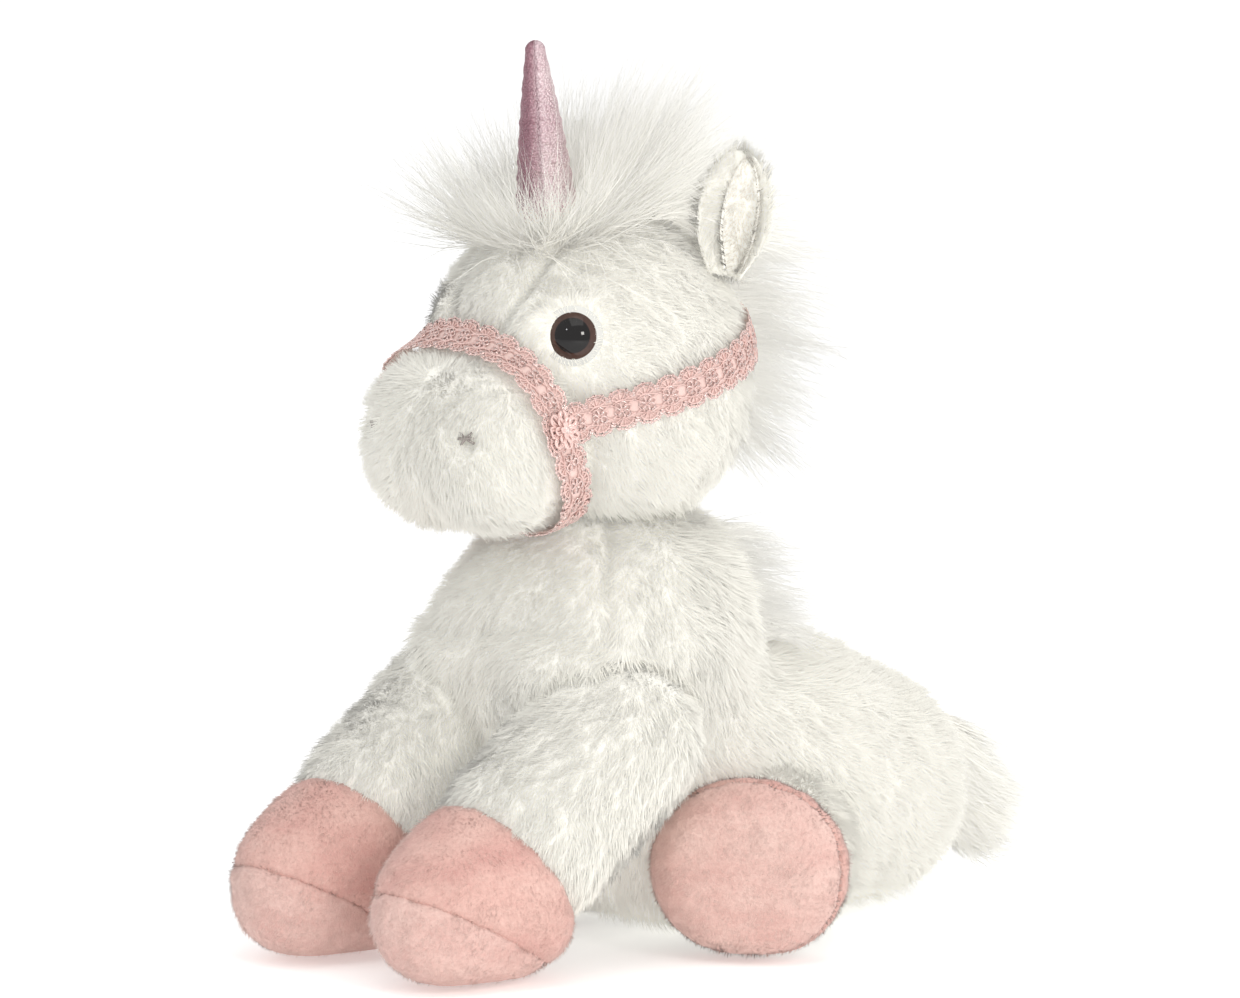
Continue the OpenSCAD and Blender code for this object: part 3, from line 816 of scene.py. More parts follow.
VIEW = direction(50, 8)
RIGHT = np.array([math.cos(math.radians(50)), math.sin(math.radians(50)), 0])
UP = np.cross(VIEW, RIGHT) * -1
UP = UP if UP[2] > 0 else -UP
DISTANCE = 4.0
TARGET = ORIGIN * MM + RIGHT * -0.0129 + UP * 0.130
cam_data = bpy.data.cameras.new("camera")
camera = bpy.data.objects.new("camera", cam_data)
bpy.context.scene.collection.objects.link(camera)
cam_data.sensor_width = 36
cam_data.lens = 36 * DISTANCE / 0.372
camera.location = Vector(TARGET + VIEW * DISTANCE)
camera.rotation_mode = "QUATERNION"
camera.rotation_quaternion = Vector(-VIEW).to_track_quat("-Z", "Y")
cam_data.clip_end = 50
bpy.context.scene.camera = camera
bpy.context.scene.view_settings.view_transform = "Standard"

floor = new_mesh("floor", np.array([(-3000, -3000, 0), (3000, -3000, 0), (3000, 3000, 0), (-3000, 3000, 0)]), np.array([[0, 1, 2, 3]]))
paper = Nodes("paper")
paper.base(paper.mix(paper.noise(3), (0.93, 0.93, 0.93), (0.95, 0.95, 0.95)))
floor.data.materials.append(paper.fixed(Roughness=0.9, Specular_IOR_Level=0.1, Emission_Color=(1, 1, 1, 1), Emission_Strength=0.3))
floor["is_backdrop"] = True

world = bpy.data.worlds.new("studio")
world.use_nodes = True
world.node_tree.nodes["Background"].inputs[0].default_value = (1.0, 1.0, 1.0, 1)
world.node_tree.nodes["Background"].inputs[1].default_value = 0.84
bpy.context.scene.world = world


def area_light(name, azimuth, elevation, distance, size, power, colour):
    data = bpy.data.lights.new(name, "AREA")
    data.shape = "SQUARE"
    data.size = size
    data.energy = power
    data.color = colour
    o = bpy.data.objects.new(name, data)
    bpy.context.scene.collection.objects.link(o)
    way = direction(azimuth, elevation)
    o.location = Vector(way * distance + (0, 0, 0.13))
    o.rotation_mode = "QUATERNION"
    o.rotation_quaternion = Vector(-way).to_track_quat("-Z", "Y")
    return o


area_light("key", 78, 22, 1.3, 0.22, 2.8, (1.0, 0.965, 0.92))
area_light("fill", 16, 34, 1.3, 0.08, 0.45, (0.95, 0.98, 1.0))
area_light("top", 62, 70, 1.4, 1.0, 3.4, (1.0, 0.98, 0.95))
area_light("low", 62, 7, 1.4, 0.6, 2.4, (1.0, 0.985, 0.96)).visible_glossy = False
area_light("back", 145, 18, 1.4, 0.8, 2.4, (1.0, 0.99, 0.97)).visible_glossy = False

# ---------------------------------------------------------------- torso


def torso_seams(p):
    """Distance from the nearest seam of the chest panel, where it runs over the torso."""
    q = both(p) - BREAST
    angle = math.radians(49)
    across = q[:, 0] * math.cos(angle) + q[:, 1] * math.sin(angle)
    side = np.abs(across) + np.where((q[:, 1] > 10), 40, 0)
    ridge = np.abs(p[:, 0]) + np.where(p[:, 1] < BREAST[1], 40, 0)
    return np.minimum(side, ridge)


torso = skin("torso_cover", torso_field, at(-52, -78, -4), at(52, 118, 146), 3.2, torso_seams, 1.2, 2.0)
p = read_points(torso)
n = point_normals(p, triangles(torso))
front = np.clip(-(p[:, 1] - BREAST[1]) / 30, 0, 1)
crease = np.exp(-((p[:, 2] - 99 - 3 * np.sin(p[:, 0] / 11)) / 4.5) ** 2) * front * 1.8
crease += np.exp(-((p[:, 2] - 84 + 0.35 * np.abs(p[:, 0])) / 5) ** 2) * front * 0.9
write_points(torso, p - n * crease[:, None])
dress(torso, BACKING, "torso",
      ("back_panel_left", "back_panel_right", "chest_panel", "belly_panel", "barrel_stuffing",
       "chest_stuffing", "seat_bean_bag"))


def torso_comb(p, n):
    back = np.clip((p[:, 1] - BREAST[1]) / 40, 0, 1)
    return np.column_stack([0.15 * np.tanh(p[:, 0] / 15), -0.1 + 0.95 * back, -1 + 0.35 * back])


def torso_keep(p, n):
    q = both(p)
    clear = np.minimum.reduce([sleeve_field(q), thigh_field(q), head_field(p), tail_field(p)])
    low = np.clip((p[:, 2] - 1.5) / 3, 0, 1)
    return np.clip((clear + 1.8) / 2.0, 0, 1) * (0.05 + 0.95 * low) * np.where(n[:, 2] < -0.8, 0.3, 1)


def torso_length(p):
    nape = np.clip((p[:, 2] - 75) / 20, 0, 1) * np.clip((p[:, 1] - NECK[1] + 6) / 18, 0, 1)
    q = both(p)
    fringe = np.exp(-(sleeve_field(q) / 4) ** 2) + np.exp(-(thigh_field(q) / 4) ** 2)
    return 5.8 + 3.2 * nape + 2.8 * fringe


pile("torso_pile", torso, "torso", WHITE_PILE, 1.9, torso_length, torso_comb, torso_keep, 11,
     facing=lambda p, n: unit(gradient(torso_hull, p) + 0.3 * n))

# ---------------------------------------------------------------- head


def head_seams(p):
    q = p - SKULL
    gusset = np.abs(np.abs(q[:, 0]) - 15 * np.clip((q[:, 2] + 30) / 50, 0.2, 1))
    gusset = gusset + np.where((q[:, 2] < -8) | (q[:, 1] > 30), 40, 0)
    middle = np.abs(q[:, 0]) + np.where(q[:, 1] > 30, 0, 40)
    return np.minimum(gusset, middle)


def jaw_gap(p):
    """Distance from the crease below the cheek."""
    q = both(p)
    return np.minimum(capsule(q, *JAW[:2], 0, 0), capsule(q, *JAW[1:], 0, 0))


head = skin("head_cover", head_field, at(-58, -84, 120), at(58, 24, 232), 3.0, head_seams, 1.9, 1.8)
p = read_points(head)
write_points(head, p - point_normals(p, triangles(head)) * (2.6 * np.exp(-(jaw_gap(p) / 3.2) ** 2))[:, None])
dress(head, BACKING, "head",
      ("head_side_left", "head_side_right", "forehead_gusset", "head_stuffing"))
neck_roll = skin("neck_wad_cover", lambda p: ball(p, NECK + (0, 0, 12), 24), at(-30, -60, 76), at(30, 4, 142), 3.4)
dress(neck_roll, BACKING, "neck", ("neck_wad",))

muzzle = skin("muzzle_cover_skin", muzzle_field, at(-44, -104, 118), at(44, -28, 202), 2.6)
p = read_points(muzzle)
n = point_normals(p, triangles(muzzle))
q = both(p)
dimple = 4.2 * np.exp(-(((q - NOSTRIL) / (4.6, 7, 3.4)) ** 2).sum(1))
dimple += 1.2 * np.exp(-(p[:, 0] / 6) ** 2) * np.clip((150 - p[:, 2]) / 15, 0, 1)
write_points(muzzle, p - n * dimple[:, None])
dress(muzzle, BACKING, "head", ("muzzle_cover", "muzzle_stuffing"))


def lace_gap(p):
    """Distance from the middle of the lace, on the head and muzzle."""
    q = both(p)
    tilt = math.radians(15.5)
    up = np.maximum(p[:, 2] - 157, 0)
    ring = np.abs(p[:, 1] - LACE_Y - 1.5 + 0.27 * up)
    rise = (q[:, 2] - JUNCTION_Z) * math.cos(tilt) - (q[:, 1] - LACE_Y) * math.sin(tilt)
    strap = np.abs(rise) + np.where(q[:, 1] < LACE_Y, 30, 0)
    return np.minimum(ring, strap)


def eye_gap(p):
    return np.linalg.norm(both(p) - EYE, axis=1)


def head_comb(p, n):
    q = p - SKULL
    way = np.column_stack([0.35 * np.tanh(q[:, 0] / 12), 0.32 + 0 * q[:, 0], -np.ones(len(p))])
    e = both(p) - EYE
    e[:, 0] *= np.sign(p[:, 0])
    near = np.exp(-(eye_gap(p) / 13) ** 2)[:, None]
    return way * (1 - near) + unit(e) * near * 2


def head_keep(p, n):
    clear = np.minimum(muzzle_field(p), ball(p, NECK, 41.5))
    lace = 0.35 + 0.65 * np.clip((lace_gap(p) - 3) / 3, 0, 1)
    return np.clip((clear + 1.5) / 2, 0, 1) * lace * np.clip((eye_gap(p) - 6.4) / 0.8, 0, 1)


def head_length(p):
    under_lace = 0.55 + 0.45 * np.clip((lace_gap(p) - 3) / 4, 0, 1)
    parting = 0.5 + 0.5 * np.clip(np.minimum(head_seams(p), jaw_gap(p)) / 3, 0, 1)
    return 5.4 * under_lace * parting * (0.7 + 0.3 * np.clip((eye_gap(p) - 7) / 9, 0, 1))


def muzzle_comb(p, n):
    q = p - MUZZLE * (0, 1, 1)
    return np.column_stack([0.8 * np.tanh(q[:, 0] / 16), 0.55 + 0 * q[:, 0], -0.75 + 0 * q[:, 0]])


def muzzle_keep(p, n):
    lace = 0.35 + 0.65 * np.clip((lace_gap(p) - 3) / 3, 0, 1)
    dot = np.linalg.norm((both(p) - NOSTRIL) / (1, 2, 1), axis=1)
    return np.clip((head_field(p) + 1.5) / 2, 0, 1) * lace * np.clip((dot - 1.6) / 1.6, 0.0, 1)


def muzzle_length(p):
    dot = np.linalg.norm(both(p) - NOSTRIL, axis=1)
    return 5.0 * (0.75 + 0.25 * np.clip((lace_gap(p) - 3) / 4, 0, 1)) * (0.55 + 0.45 * np.clip((dot - 2) / 5, 0, 1))


pile("head_pile", head, "head", WHITE_PILE, 2.2, head_length, head_comb, head_keep, 21)
pile("muzzle_pile", muzzle, "head", WHITE_PILE, 2.6, muzzle_length, muzzle_comb, muzzle_keep, 31)

# ---------------------------------------------------------------- legs


sleeve = skin("front_sleeve_skin_left", sleeve_field, at(2, -118, -4), at(66, -18, 100), 3.0)
upper = skin("front_hoof_left", front_upper_field, at(4, -140, -4), at(62, -70, 66), 2.4, toe_split, 0.0, 1.0, 0.8)
sole = skin("front_sole_skin_left", front_sole_field, at(4, -140, -4), at(62, -62, 50), 2.4, toe_split, 0.0, 1.0, 0.8)
thigh = skin("hind_sleeve_skin_left", thigh_field, at(-4, -40, -4), at(84, 50, 62), 3.0)
rim = skin("hind_hoof_skin_left", hind_rim_field, at(16, -60, -4), at(96, 30, 66), 2.4, hind_split, 0.0, 1.0, 0.8)
pad = skin("hind_sole_skin_left", hind_sole_field, at(16, -60, -4), at(96, 30, 66), 2.4, hind_split, 0.0, 1.0, 0.8)


def leg_comb(p, n):
    return sided(LEG_AXIS + (0, 0, -0.25), p)


def sleeve_keep(p, n):
    q = both(p)
    clear = np.minimum(hoof_field(q), torso_field(q))
    low = np.clip((p[:, 2] - 1.5) / 3, 0, 1)
    return np.clip((clear + 1.0) / 1.5, 0, 1) * (0.05 + 0.95 * low)


def thigh_comb(p, n):
    return sided(HIND_DIR * 0.9 + (0, 0, -0.6), p)


def thigh_keep(p, n):
    q = both(p)
    clear = np.minimum(hind_hoof_field(q), torso_field(q))
    low = np.clip((p[:, 2] - 1.5) / 3, 0, 1)
    return np.clip((clear + 1.0) / 1.5, 0, 1) * (0.05 + 0.95 * low)


def nap_keep(p, n):
    q = both(p)
    return np.clip((p[:, 2] - 2) / 2, 0, 1) * (np.minimum(sleeve_field(q), thigh_field(q)) > 0.5)


for side in ("left", "right"):
    front, hind = f"front_leg_{side}", f"hind_leg_{side}"
    pieces = [sleeve, upper, sole, thigh, rim, pad]
    if side == "right":
        pieces = [reflected(o, o.name.replace("left", "right")) for o in pieces]
    s, u, b, t, r, d = pieces
    seed = 41 if side == "left" else 42
    dress(s, BACKING, front, (f"front_sleeve_{side}", f"front_stuffing_{side}"))
    dress(u, VELOUR, front, (f"front_hoof_cuff_{side}", f"front_bean_bag_{side}"))
    dress(b, SOLE, front, (f"front_sole_{side}",))
    dress(t, BACKING, hind, (f"hind_sleeve_{side}", f"hind_stuffing_{side}"))
    dress(r, VELOUR, hind, (f"hind_hoof_rim_{side}", f"hind_bean_bag_{side}"))
    dress(d, SOLE, hind, (f"hind_sole_{side}",))
    pile(f"front_sleeve_pile_{side}", s, front, WHITE_PILE, 2.1, 5.8, leg_comb, sleeve_keep, seed,
         lean=(0.95, 1.25), facing=lambda p, n: unit(n + (0, -0.15, 0.4)))
    for o, body, slot, mat, way in ((u, front, "pink_velour", NAP, LEG_AXIS), (b, front, "sole_velour", SOLE_NAP, LEG_AXIS),
                                    (r, hind, "pink_velour", NAP, HIND_DIR), (d, hind, "sole_velour", SOLE_NAP, HIND_DIR)):
        pile(f"{o.name}_nap", o, body, mat, 1.6, 1.7, lambda p, n: sided(way, p) + (0, 0, -0.9),
             nap_keep, seed + 20, 0.17, (0.95, 1.2), (5, 0.1), 0.3)
    pile(f"hind_sleeve_pile_{side}", t, hind, WHITE_PILE, 2.1, 6.6, thigh_comb, thigh_keep, seed + 10,
         facing=lambda p, n: unit(n + 0.9 * sided(HIND_DIR, p)))

# ---------------------------------------------------------------- horn


def revolved(name, profile, foot, axis, around=72, extra=None):
    """Closed lathe of (height, radius) rows about axis from foot; extra(angle, height) adds to the radius."""
    axis = unit(axis)
    e1 = unit(np.cross((0, 1, 0), axis))
    e2 = np.cross(axis, e1)
    angle = np.arange(around) * 2 * math.pi / around
    rows = []
    for h, r in profile:
        rr = r + (extra(angle, h) if extra else 0)
        rows.append(foot + h * axis + (rr * np.cos(angle))[:, None] * e1 + (rr * np.sin(angle))[:, None] * e2)
    verts = np.concatenate(rows + [[foot + profile[0][0] * axis], [foot + profile[-1][0] * axis]])
    quads, tris = [], []
    k = len(profile)
    for i in range(k - 1):
        for j in range(around):
            m = (j + 1) % around
            quads.append((i * around + j, i * around + m, (i + 1) * around + m, (i + 1) * around + j))
    for j in range(around):
        m = (j + 1) % around
        tris.append((k * around, m, j))
        tris.append((k * around + 1, (k - 1) * around + j, (k - 1) * around + m))
    return smooth(new_mesh(name, verts, [np.array(tris), np.array(quads)]))


horn_axis = HORN_TIP - HORN_ROOT
horn_len = float(np.linalg.norm(horn_axis))
rows = []
for i in range(90):
    f = i / 89
    rows.append((-2 + f * (horn_len + 2), 9.3 + (2.9 - 9.3) * f ** 1.05 + 0.5 * math.sin(math.pi * f)))
for i in range(1, 9):
    a = math.pi / 2 * i / 8
    rows.append((horn_len + 2.7 * math.sin(a), max(2.9 * math.cos(a), 0.15)))


def horn_folds(angle, h):
    f = h / horn_len
    seam = -0.75 * sum(np.exp(-((np.angle(np.exp(1j * (angle - s))) * (9 - 6 * f)) / 0.9) ** 2) for s in HORN_SEAMS)
    tuck = 0.22 * np.sin(h * 1.15 + 2.2 * np.sin(angle * 2 + 0.4)) * (0.4 + 0.6 * np.cos(angle - 1.1) ** 2)
    tuck += 0.16 * np.sin(h * 2.3 + 5 * angle) * np.sin(3 * angle + h * 0.3)
    return seam + tuck * (1 - 0.6 * f)


HORN_SEAMS = (-0.9, 2.3)
horn = revolved("horn_skin", rows, HORN_ROOT, horn_axis, 96, horn_folds)
angle = np.concatenate([np.tile(np.arange(96) * 2 * math.pi / 96, len(rows)), [0, 0]])
# Share of the panel that the foil material darkens as painted shade.
panel = 1 / (1 + np.exp(-14 * np.sin((angle - HORN_SEAMS[1]) / 2) * np.sin((angle - HORN_SEAMS[0]) / 2)))
horn.data.attributes.new("panel", "FLOAT", "POINT").data.foreach_set("value", panel.astype(np.float32))
dress(horn, FOIL, "horn", ("horn_cover", "horn_stuffing"))

# ---------------------------------------------------------------- ears

turn, lean_ear = math.radians(48), math.radians(8)
EAR_X = np.array([math.cos(turn) * math.cos(lean_ear), math.sin(turn) * math.cos(lean_ear), -math.sin(lean_ear)])
EAR_Y = np.array([-math.sin(turn), math.cos(turn), 0])
EAR_Z = np.cross(EAR_X, EAR_Y)


def ear_blade(name, inset, back, thick, narrow=1.0, shift=0.0):
    """Cupped, rounded ear sheet, closed, from a grid over its height and width."""
    tall, wide = 30, 22
    length = 38 - 2 * inset
    front, rear = [], []
    for i in range(tall + 1):
        f = i / tall
        half = (9.6 - inset) * narrow * (0.80 + 0.32 * math.sin(math.pi * min(1, f * 1.15) * 0.8)) * math.sqrt(max(0.0, 1 - max(0, (f - 0.45) / 0.55) ** 2.4))
        half *= 0.62 + 0.38 * math.sin(math.pi / 2 * min(1, f / 0.38))
        half = max(half, 0.4)
        for j in range(wide + 1):
            t = 2 * j / wide - 1
            x = half * t + shift
            cup = -3.4 * abs(t) ** 2.2 * math.sin(math.pi * min(1.0, 0.25 + f)) + 1.2 * math.sin(f * 2.2) - 4.5 * max(0, t - 0.35) ** 1.5
            edge = thick / 2 * math.sqrt(max(0.0, 1 - abs(t) ** 4)) * (1 if f < 0.9 else math.sqrt(max(0.0, 1 - ((f - 0.9) / 0.1) ** 2)))
            z = -1.5 + inset + f * length
            middle = back + cup
            front.append(EAR_FOOT + x * EAR_X + (middle - edge) * EAR_Y + z * EAR_Z)
            rear.append(EAR_FOOT + x * EAR_X + (middle + edge + 0.05) * EAR_Y + z * EAR_Z)
    verts = np.array(front + rear)
    row, n = wide + 1, (tall + 1) * (wide + 1)
    quads = []
    for i in range(tall):
        for j in range(wide):
            a = i * row + j
            quads.append((a, a + 1, a + row + 1, a + row))
            quads.append((n + a, n + a + row, n + a + row + 1, n + a + 1))
    for i in range(tall):
        a, b = i * row, i * row + wide
        quads.append((a, a + row, n + a + row, n + a))
        quads.append((b, n + b, n + b + row, b + row))
    for j in range(wide):
        a, b = j, tall * row + j
        quads.append((a, n + a, n + a + 1, a + 1))
        quads.append((b, b + 1, n + b + 1, n + b))
    return smooth(new_mesh(name, verts, np.array(quads)))


ear = ear_blade("ear_skin_left", 0, 1.6, 3.0)
lining = ear_blade("ear_lining_skin_left", 2.2, -0.6, 1.8, 0.66, 2.0)
ear_up = EAR_Z + 0.15 * EAR_X


def ear_comb(p, n):
    return sided(ear_up, p)


def ear_rear(p, n):
    inner = (both(p) - EAR_FOOT) @ EAR_X
    return np.maximum(np.clip(((n * sided(EAR_Y, p)).sum(1) + 0.8) / 0.4, 0, 1), (np.abs(inner - 2.0) > 3.9) * 1.0)


def ear_facing(p, n):
    """Normals that turn outwards at the rear rim of the ear."""
    q = both(p) - EAR_FOOT
    across, up = q @ EAR_X, q @ EAR_Z
    out = unit(across[:, None] * EAR_X + np.maximum(up - 18, 0)[:, None] * EAR_Z + 0.01)
    rear = np.clip(((n * sided(EAR_Y, p)).sum(1) + 0.1) / 0.3, 0, 1)
    rim = (np.clip(np.maximum(np.abs(across) - 3.5, up - 27) / 4, 0, 1) * rear)[:, None]
    return unit(n * (1 - 0.85 * rim) + sided(out, p) * rim)


for side in ("left", "right"):
    outer, inner = (ear, lining) if side == "left" else (reflected(ear, "ear_skin_right"), reflected(lining, "ear_lining_skin_right"))
    dress(outer, BACKING, f"ear_{side}", (f"ear_{side}",))
    dress(inner, BACKING, f"ear_{side}", (f"ear_lining_{side}",))
    seed = 61 if side == "left" else 62
    pile(f"ear_pile_{side}", outer, f"ear_{side}", WHITE_PILE, 3.2, 4.6, ear_comb, ear_rear, seed, 0.16, (0.7, 1.1),
         facing=ear_facing)
    pile(f"ear_lining_pile_{side}", inner, f"ear_{side}", SHADED_LINING_PILE, 3.0, 2.4, ear_comb, None, seed + 5, 0.14)

# ---------------------------------------------------------------- eyes and nostrils

EYE_R = 7.8
DOME = (EYE_R ** 2 + 4.2 ** 2) / (2 * 4.2)


def eye_rows():
    rows = [(-3.0, 2.0), (-1.0, 5.8), (-0.6, EYE_R - 0.3), (-0.1, EYE_R)]
    top = math.asin(EYE_R / DOME)
    for i in range(22):
        a = top * (1 - i / 22)
        rows.append((DOME * math.cos(a) - (DOME - 4.2) + 0.15, DOME * math.sin(a)))
    return rows


eye_foot = EYE - 4.5 * EYE_DIR
for side in ("left", "right"):
    flip = (lambda v: v) if side == "left" else mirror
    e = revolved(f"eye_dome_{side}", eye_rows(), flip(eye_foot), flip(EYE_DIR), 64)
    radius = np.array([r for _, r in eye_rows()]) / EYE_R
    ring = np.concatenate([np.repeat(radius, 64), [0.2, 0.0]])
    e.data.attributes.new("ring", "FLOAT", "POINT").data.foreach_set("value", ring.astype(np.float32))
    dress(e, EYE_GLOSS, "head", (f"eye_{side}",))
    frame["nodes"][f"eye_washer_{side}"].data.materials.clear()
    frame["nodes"][f"eye_washer_{side}"].data.materials.append(WASHER)


def tube(paths, radius, sides=5):
    """Vertices and faces of closed round tubes along point lists."""
    verts, quads, tris, at_vert = [], [], [], 0
    angle = np.arange(sides) * 2 * math.pi / sides
    for path in paths:
        path = np.asarray(path, float)
        way = unit(np.gradient(path, axis=0))
        ref = unit(np.cross(way, way[len(way) // 2] + (0.31, 0.17, 0.53)))
        e2 = np.cross(way, ref)
        rings = path[:, None] + radius * (np.cos(angle)[None, :, None] * ref[:, None] + np.sin(angle)[None, :, None] * e2[:, None])
        verts.append(rings.reshape(-1, 3))
        verts.append(path[[0, -1]])
        k = len(path)
        i, j = np.meshgrid(np.arange(k - 1), np.arange(sides), indexing="ij")
        m = (j + 1) % sides
        quads.append(np.stack([i * sides + j, i * sides + m, (i + 1) * sides + m, (i + 1) * sides + j], -1).reshape(-1, 4) + at_vert)
        j = np.arange(sides)
        m = (j + 1) % sides
        tris.append(np.stack([np.full(sides, k * sides), m, j], 1) + at_vert)
        tris.append(np.stack([np.full(sides, k * sides + 1), (k - 1) * sides + j, (k - 1) * sides + m], 1) + at_vert)
        at_vert += k * sides + 2
    return np.concatenate(verts), [np.concatenate(tris), np.concatenate(quads)]


stitches = []
for flip in (lambda v: v, mirror):
    for k, (a, b) in enumerate((((-3.4, 1.6), (2.6, -1.4)), ((-2.2, -2.2), (1.8, 2.0)), ((-3.0, -0.4), (3.0, 0.5)))):
        points = []
        for f in np.linspace(0, 1, 9):
            w = NOSTRIL + (a[0] + (b[0] - a[0]) * f, 0, a[1] + (b[1] - a[1]) * f)
            w = onto(muzzle_field, w[None], rounds=4)[0]
            points.append(flip(w + (0, -1, 0) * np.array(0.2 + 0.5 * math.sin(math.pi * f) + 0.25 * k - 2.6)))
        stitches.append(points)
v, f = tube(stitches, 0.42, 6)
nose = smooth(new_mesh("nostril_thread", v, f))
dress(nose, STITCH, "head", ("nostril_stitches",))

# ---------------------------------------------------------------- lace


def lace_field(p):
    d = soft_min(ball(p, SKULL, 47), capsule(p, mirror(CHEEK), CHEEK, 36, 36), 14)
    return soft_min(d, box_ball(p, mirror(MUZZLE), MUZZLE, 27, 2.35), 12)


def cast(field, start, way, far=75.0):
    """Where rays from start along way leave the field."""
    low, high = np.zeros(len(start)), np.full(len(start), far)
    for _ in range(26):
        mid = (low + high) / 2
        inside = field(start + way * mid[:, None]) < 0
        low, high = np.where(inside, mid, low), np.where(inside, high, mid)
    return start + way * low[:, None]


class Ribbon:
    """A strip on the head: (u along it, v across it, h off the surface) in mm to a place."""

    def __init__(self, middle, half, lift, columns=9):
        along = unit(np.gradient(middle, axis=0))
        rows = {columns // 2: middle}
        for way in (-1, 1):
            p = middle
            for k in range(1, columns // 2 + 1):
                across = np.cross(unit(gradient(lace_field, p)), along)
                p = onto(lace_field, p + unit(across) * way * half / (columns // 2), rounds=3)
                rows[columns // 2 + way * k] = p
        self.grid = np.stack([rows[k] for k in range(columns)], 1)
        self.u = np.concatenate([[0], np.cumsum(np.linalg.norm(np.diff(middle, axis=0), axis=1))])
        self.length = self.u[-1]
        self.half, self.columns, self.lift = half, columns, lift

    def __call__(self, u, v, h=0.0):
        u, v = np.atleast_1d(u).astype(float), np.atleast_1d(v).astype(float)
        s = np.interp(u, self.u, np.arange(len(self.u)))
        t = (v + self.half) / (2 * self.half) * (self.columns - 1)
        i = np.clip(s.astype(int), 0, len(self.u) - 2)
        j = np.clip(np.floor(t).astype(int), 0, self.columns - 2)
        a, b = (s - i)[:, None], (t - j)[:, None]
        g = self.grid
        p = (g[i, j] * (1 - a) + g[i + 1, j] * a) * (1 - b) + (g[i, j + 1] * (1 - a) + g[i + 1, j + 1] * a) * b
        du, dv = g[i + 1, j] - g[i, j], g[i, j + 1] - g[i, j]
        n = unit(np.cross(du, dv))
        n = n * np.sign((n * (p - SKULL)).sum(1))[:, None]
        return p + n * (self.lift + np.asarray(h, float)).reshape(-1, 1)


def ring_ribbon(first, last, lift):
    """Part of the ring round the muzzle, between two angles from +X towards +Z, in degrees."""
    angle = np.radians(np.linspace(first, last, 120))
    forward = -0.27 * np.maximum(np.sin(angle), 0) - 0.45 * np.minimum(np.sin(angle), 0)
    ways = unit(np.column_stack([np.cos(angle), forward, np.sin(angle)]))
    return Ribbon(cast(lace_field, np.tile(at(0, -70.5, 157), (120, 1)), ways), 6.4, lift)


def strap_ribbon(lift):
    tilt = math.radians(15.5)
    back = np.array([0, math.cos(tilt), math.sin(tilt)])
    middle = at(0, -72, JUNCTION_Z) + back * 42
    angle = np.radians(np.linspace(-51, 78, 140))
    ways = np.cos(angle)[:, None] * np.array([1.0, 0, 0]) + np.sin(angle)[:, None] * back
    return Ribbon(cast(lace_field, np.tile(middle, (140, 1)), ways), 6.4, lift)


def band_mesh(name, ribbon, period=7.2):
    """Thin closed net strip with scalloped edges under the thread work."""
    rows, cols = int(ribbon.length / 0.5), 12
    u = np.linspace(0, ribbon.length, rows + 1)
    half = 4.0 + 1.3 * np.abs(np.sin(math.pi * u / (ribbon.length / round(ribbon.length / period))))
    top, low = [], []
    for k in range(cols + 1):
        v = half * (2 * k / cols - 1)
        top.append(ribbon(u, v, 0.12))
        low.append(ribbon(u, v, -0.25))
    verts = np.concatenate([np.stack(top, 1).reshape(-1, 3), np.stack(low, 1).reshape(-1, 3)])
    row, n = cols + 1, (rows + 1) * (cols + 1)
    i, j = np.meshgrid(np.arange(rows), np.arange(cols), indexing="ij")
    a = (i * row + j).ravel()
    quads = [np.stack([a, a + 1, a + row + 1, a + row], 1), np.stack([n + a, n + a + row, n + a + row + 1, n + a + 1], 1)]
    i = np.arange(rows) * row
    quads.append(np.stack([i, i + row, n + i + row, n + i], 1))
    i = i + cols
    quads.append(np.stack([i, n + i, n + i + row, i + row], 1))
    j = np.arange(cols)
    quads.append(np.stack([j, n + j, n + j + 1, j + 1], 1))
    j = rows * row + j
    quads.append(np.stack([j, j + 1, n + j + 1, n + j], 1))
    return smooth(new_mesh(name, verts, np.concatenate(quads)))


def arc(cu, cv, ru, rv, a0, a1, k=12):
    a = np.radians(np.linspace(a0, a1, k))
    return cu + ru * np.cos(a), cv + rv * np.sin(a)


def lace_paths(ribbon, period=7.2, seed=3):
    """Thread and glitter paths of a repeating scalloped motif."""
    rng = np.random.default_rng(seed)
    count = max(1, round(ribbon.length / period))
    period = ribbon.length / count
    thread, glint = [], []
    for m in range(count):
        c = (m + 0.5) * period
        jog = rng.uniform(-0.2, 0.2, 4)
        for s in (-1, 1):
            for grow, h in ((1.0, 0.35), (0.66, 0.5)):
                u, v = arc(c, 2.9, period * 0.52 * grow, 2.9 * grow, 0, 180)
                thread.append(ribbon(u, s * v, h))
            for k in range(5):
                a = math.radians(18 + 36 * k)
                u, v = arc(c + period * 0.5 * math.cos(a), 2.9 + 2.7 * math.sin(a), 0.6, 0.6, 0, 360, 8)
                glint.append(ribbon(u, s * v, 0.45))
                u = np.linspace(c, c + period * 0.5 * math.cos(a), 6)
                thread.append(ribbon(u, s * np.linspace(2.2, 2.9 + 2.6 * math.sin(a), 6), 0.4))
            u = np.linspace(c - period / 2, c + period / 2, 12)
            thread.append(ribbon(u, s * (2.3 + 0.5 * np.cos(2 * math.pi * (u - c) / period)), 0.6))
        for k in range(6):
            a = math.radians(60 * k + 12)
            u, v = arc(c + 1.6 * math.cos(a) + jog[0], 1.5 * math.sin(a) + jog[1], 1.0, 1.0, 0, 360, 9)
            (glint if k % 2 else thread).append(ribbon(u, v, 0.7))
        for s in (-1, 1):
            u = np.linspace(c - period / 2, c + period / 2, 10)
            thread.append(ribbon(u, s * np.linspace(-2.2, 2.2, 10), 0.5))
    return thread, glint


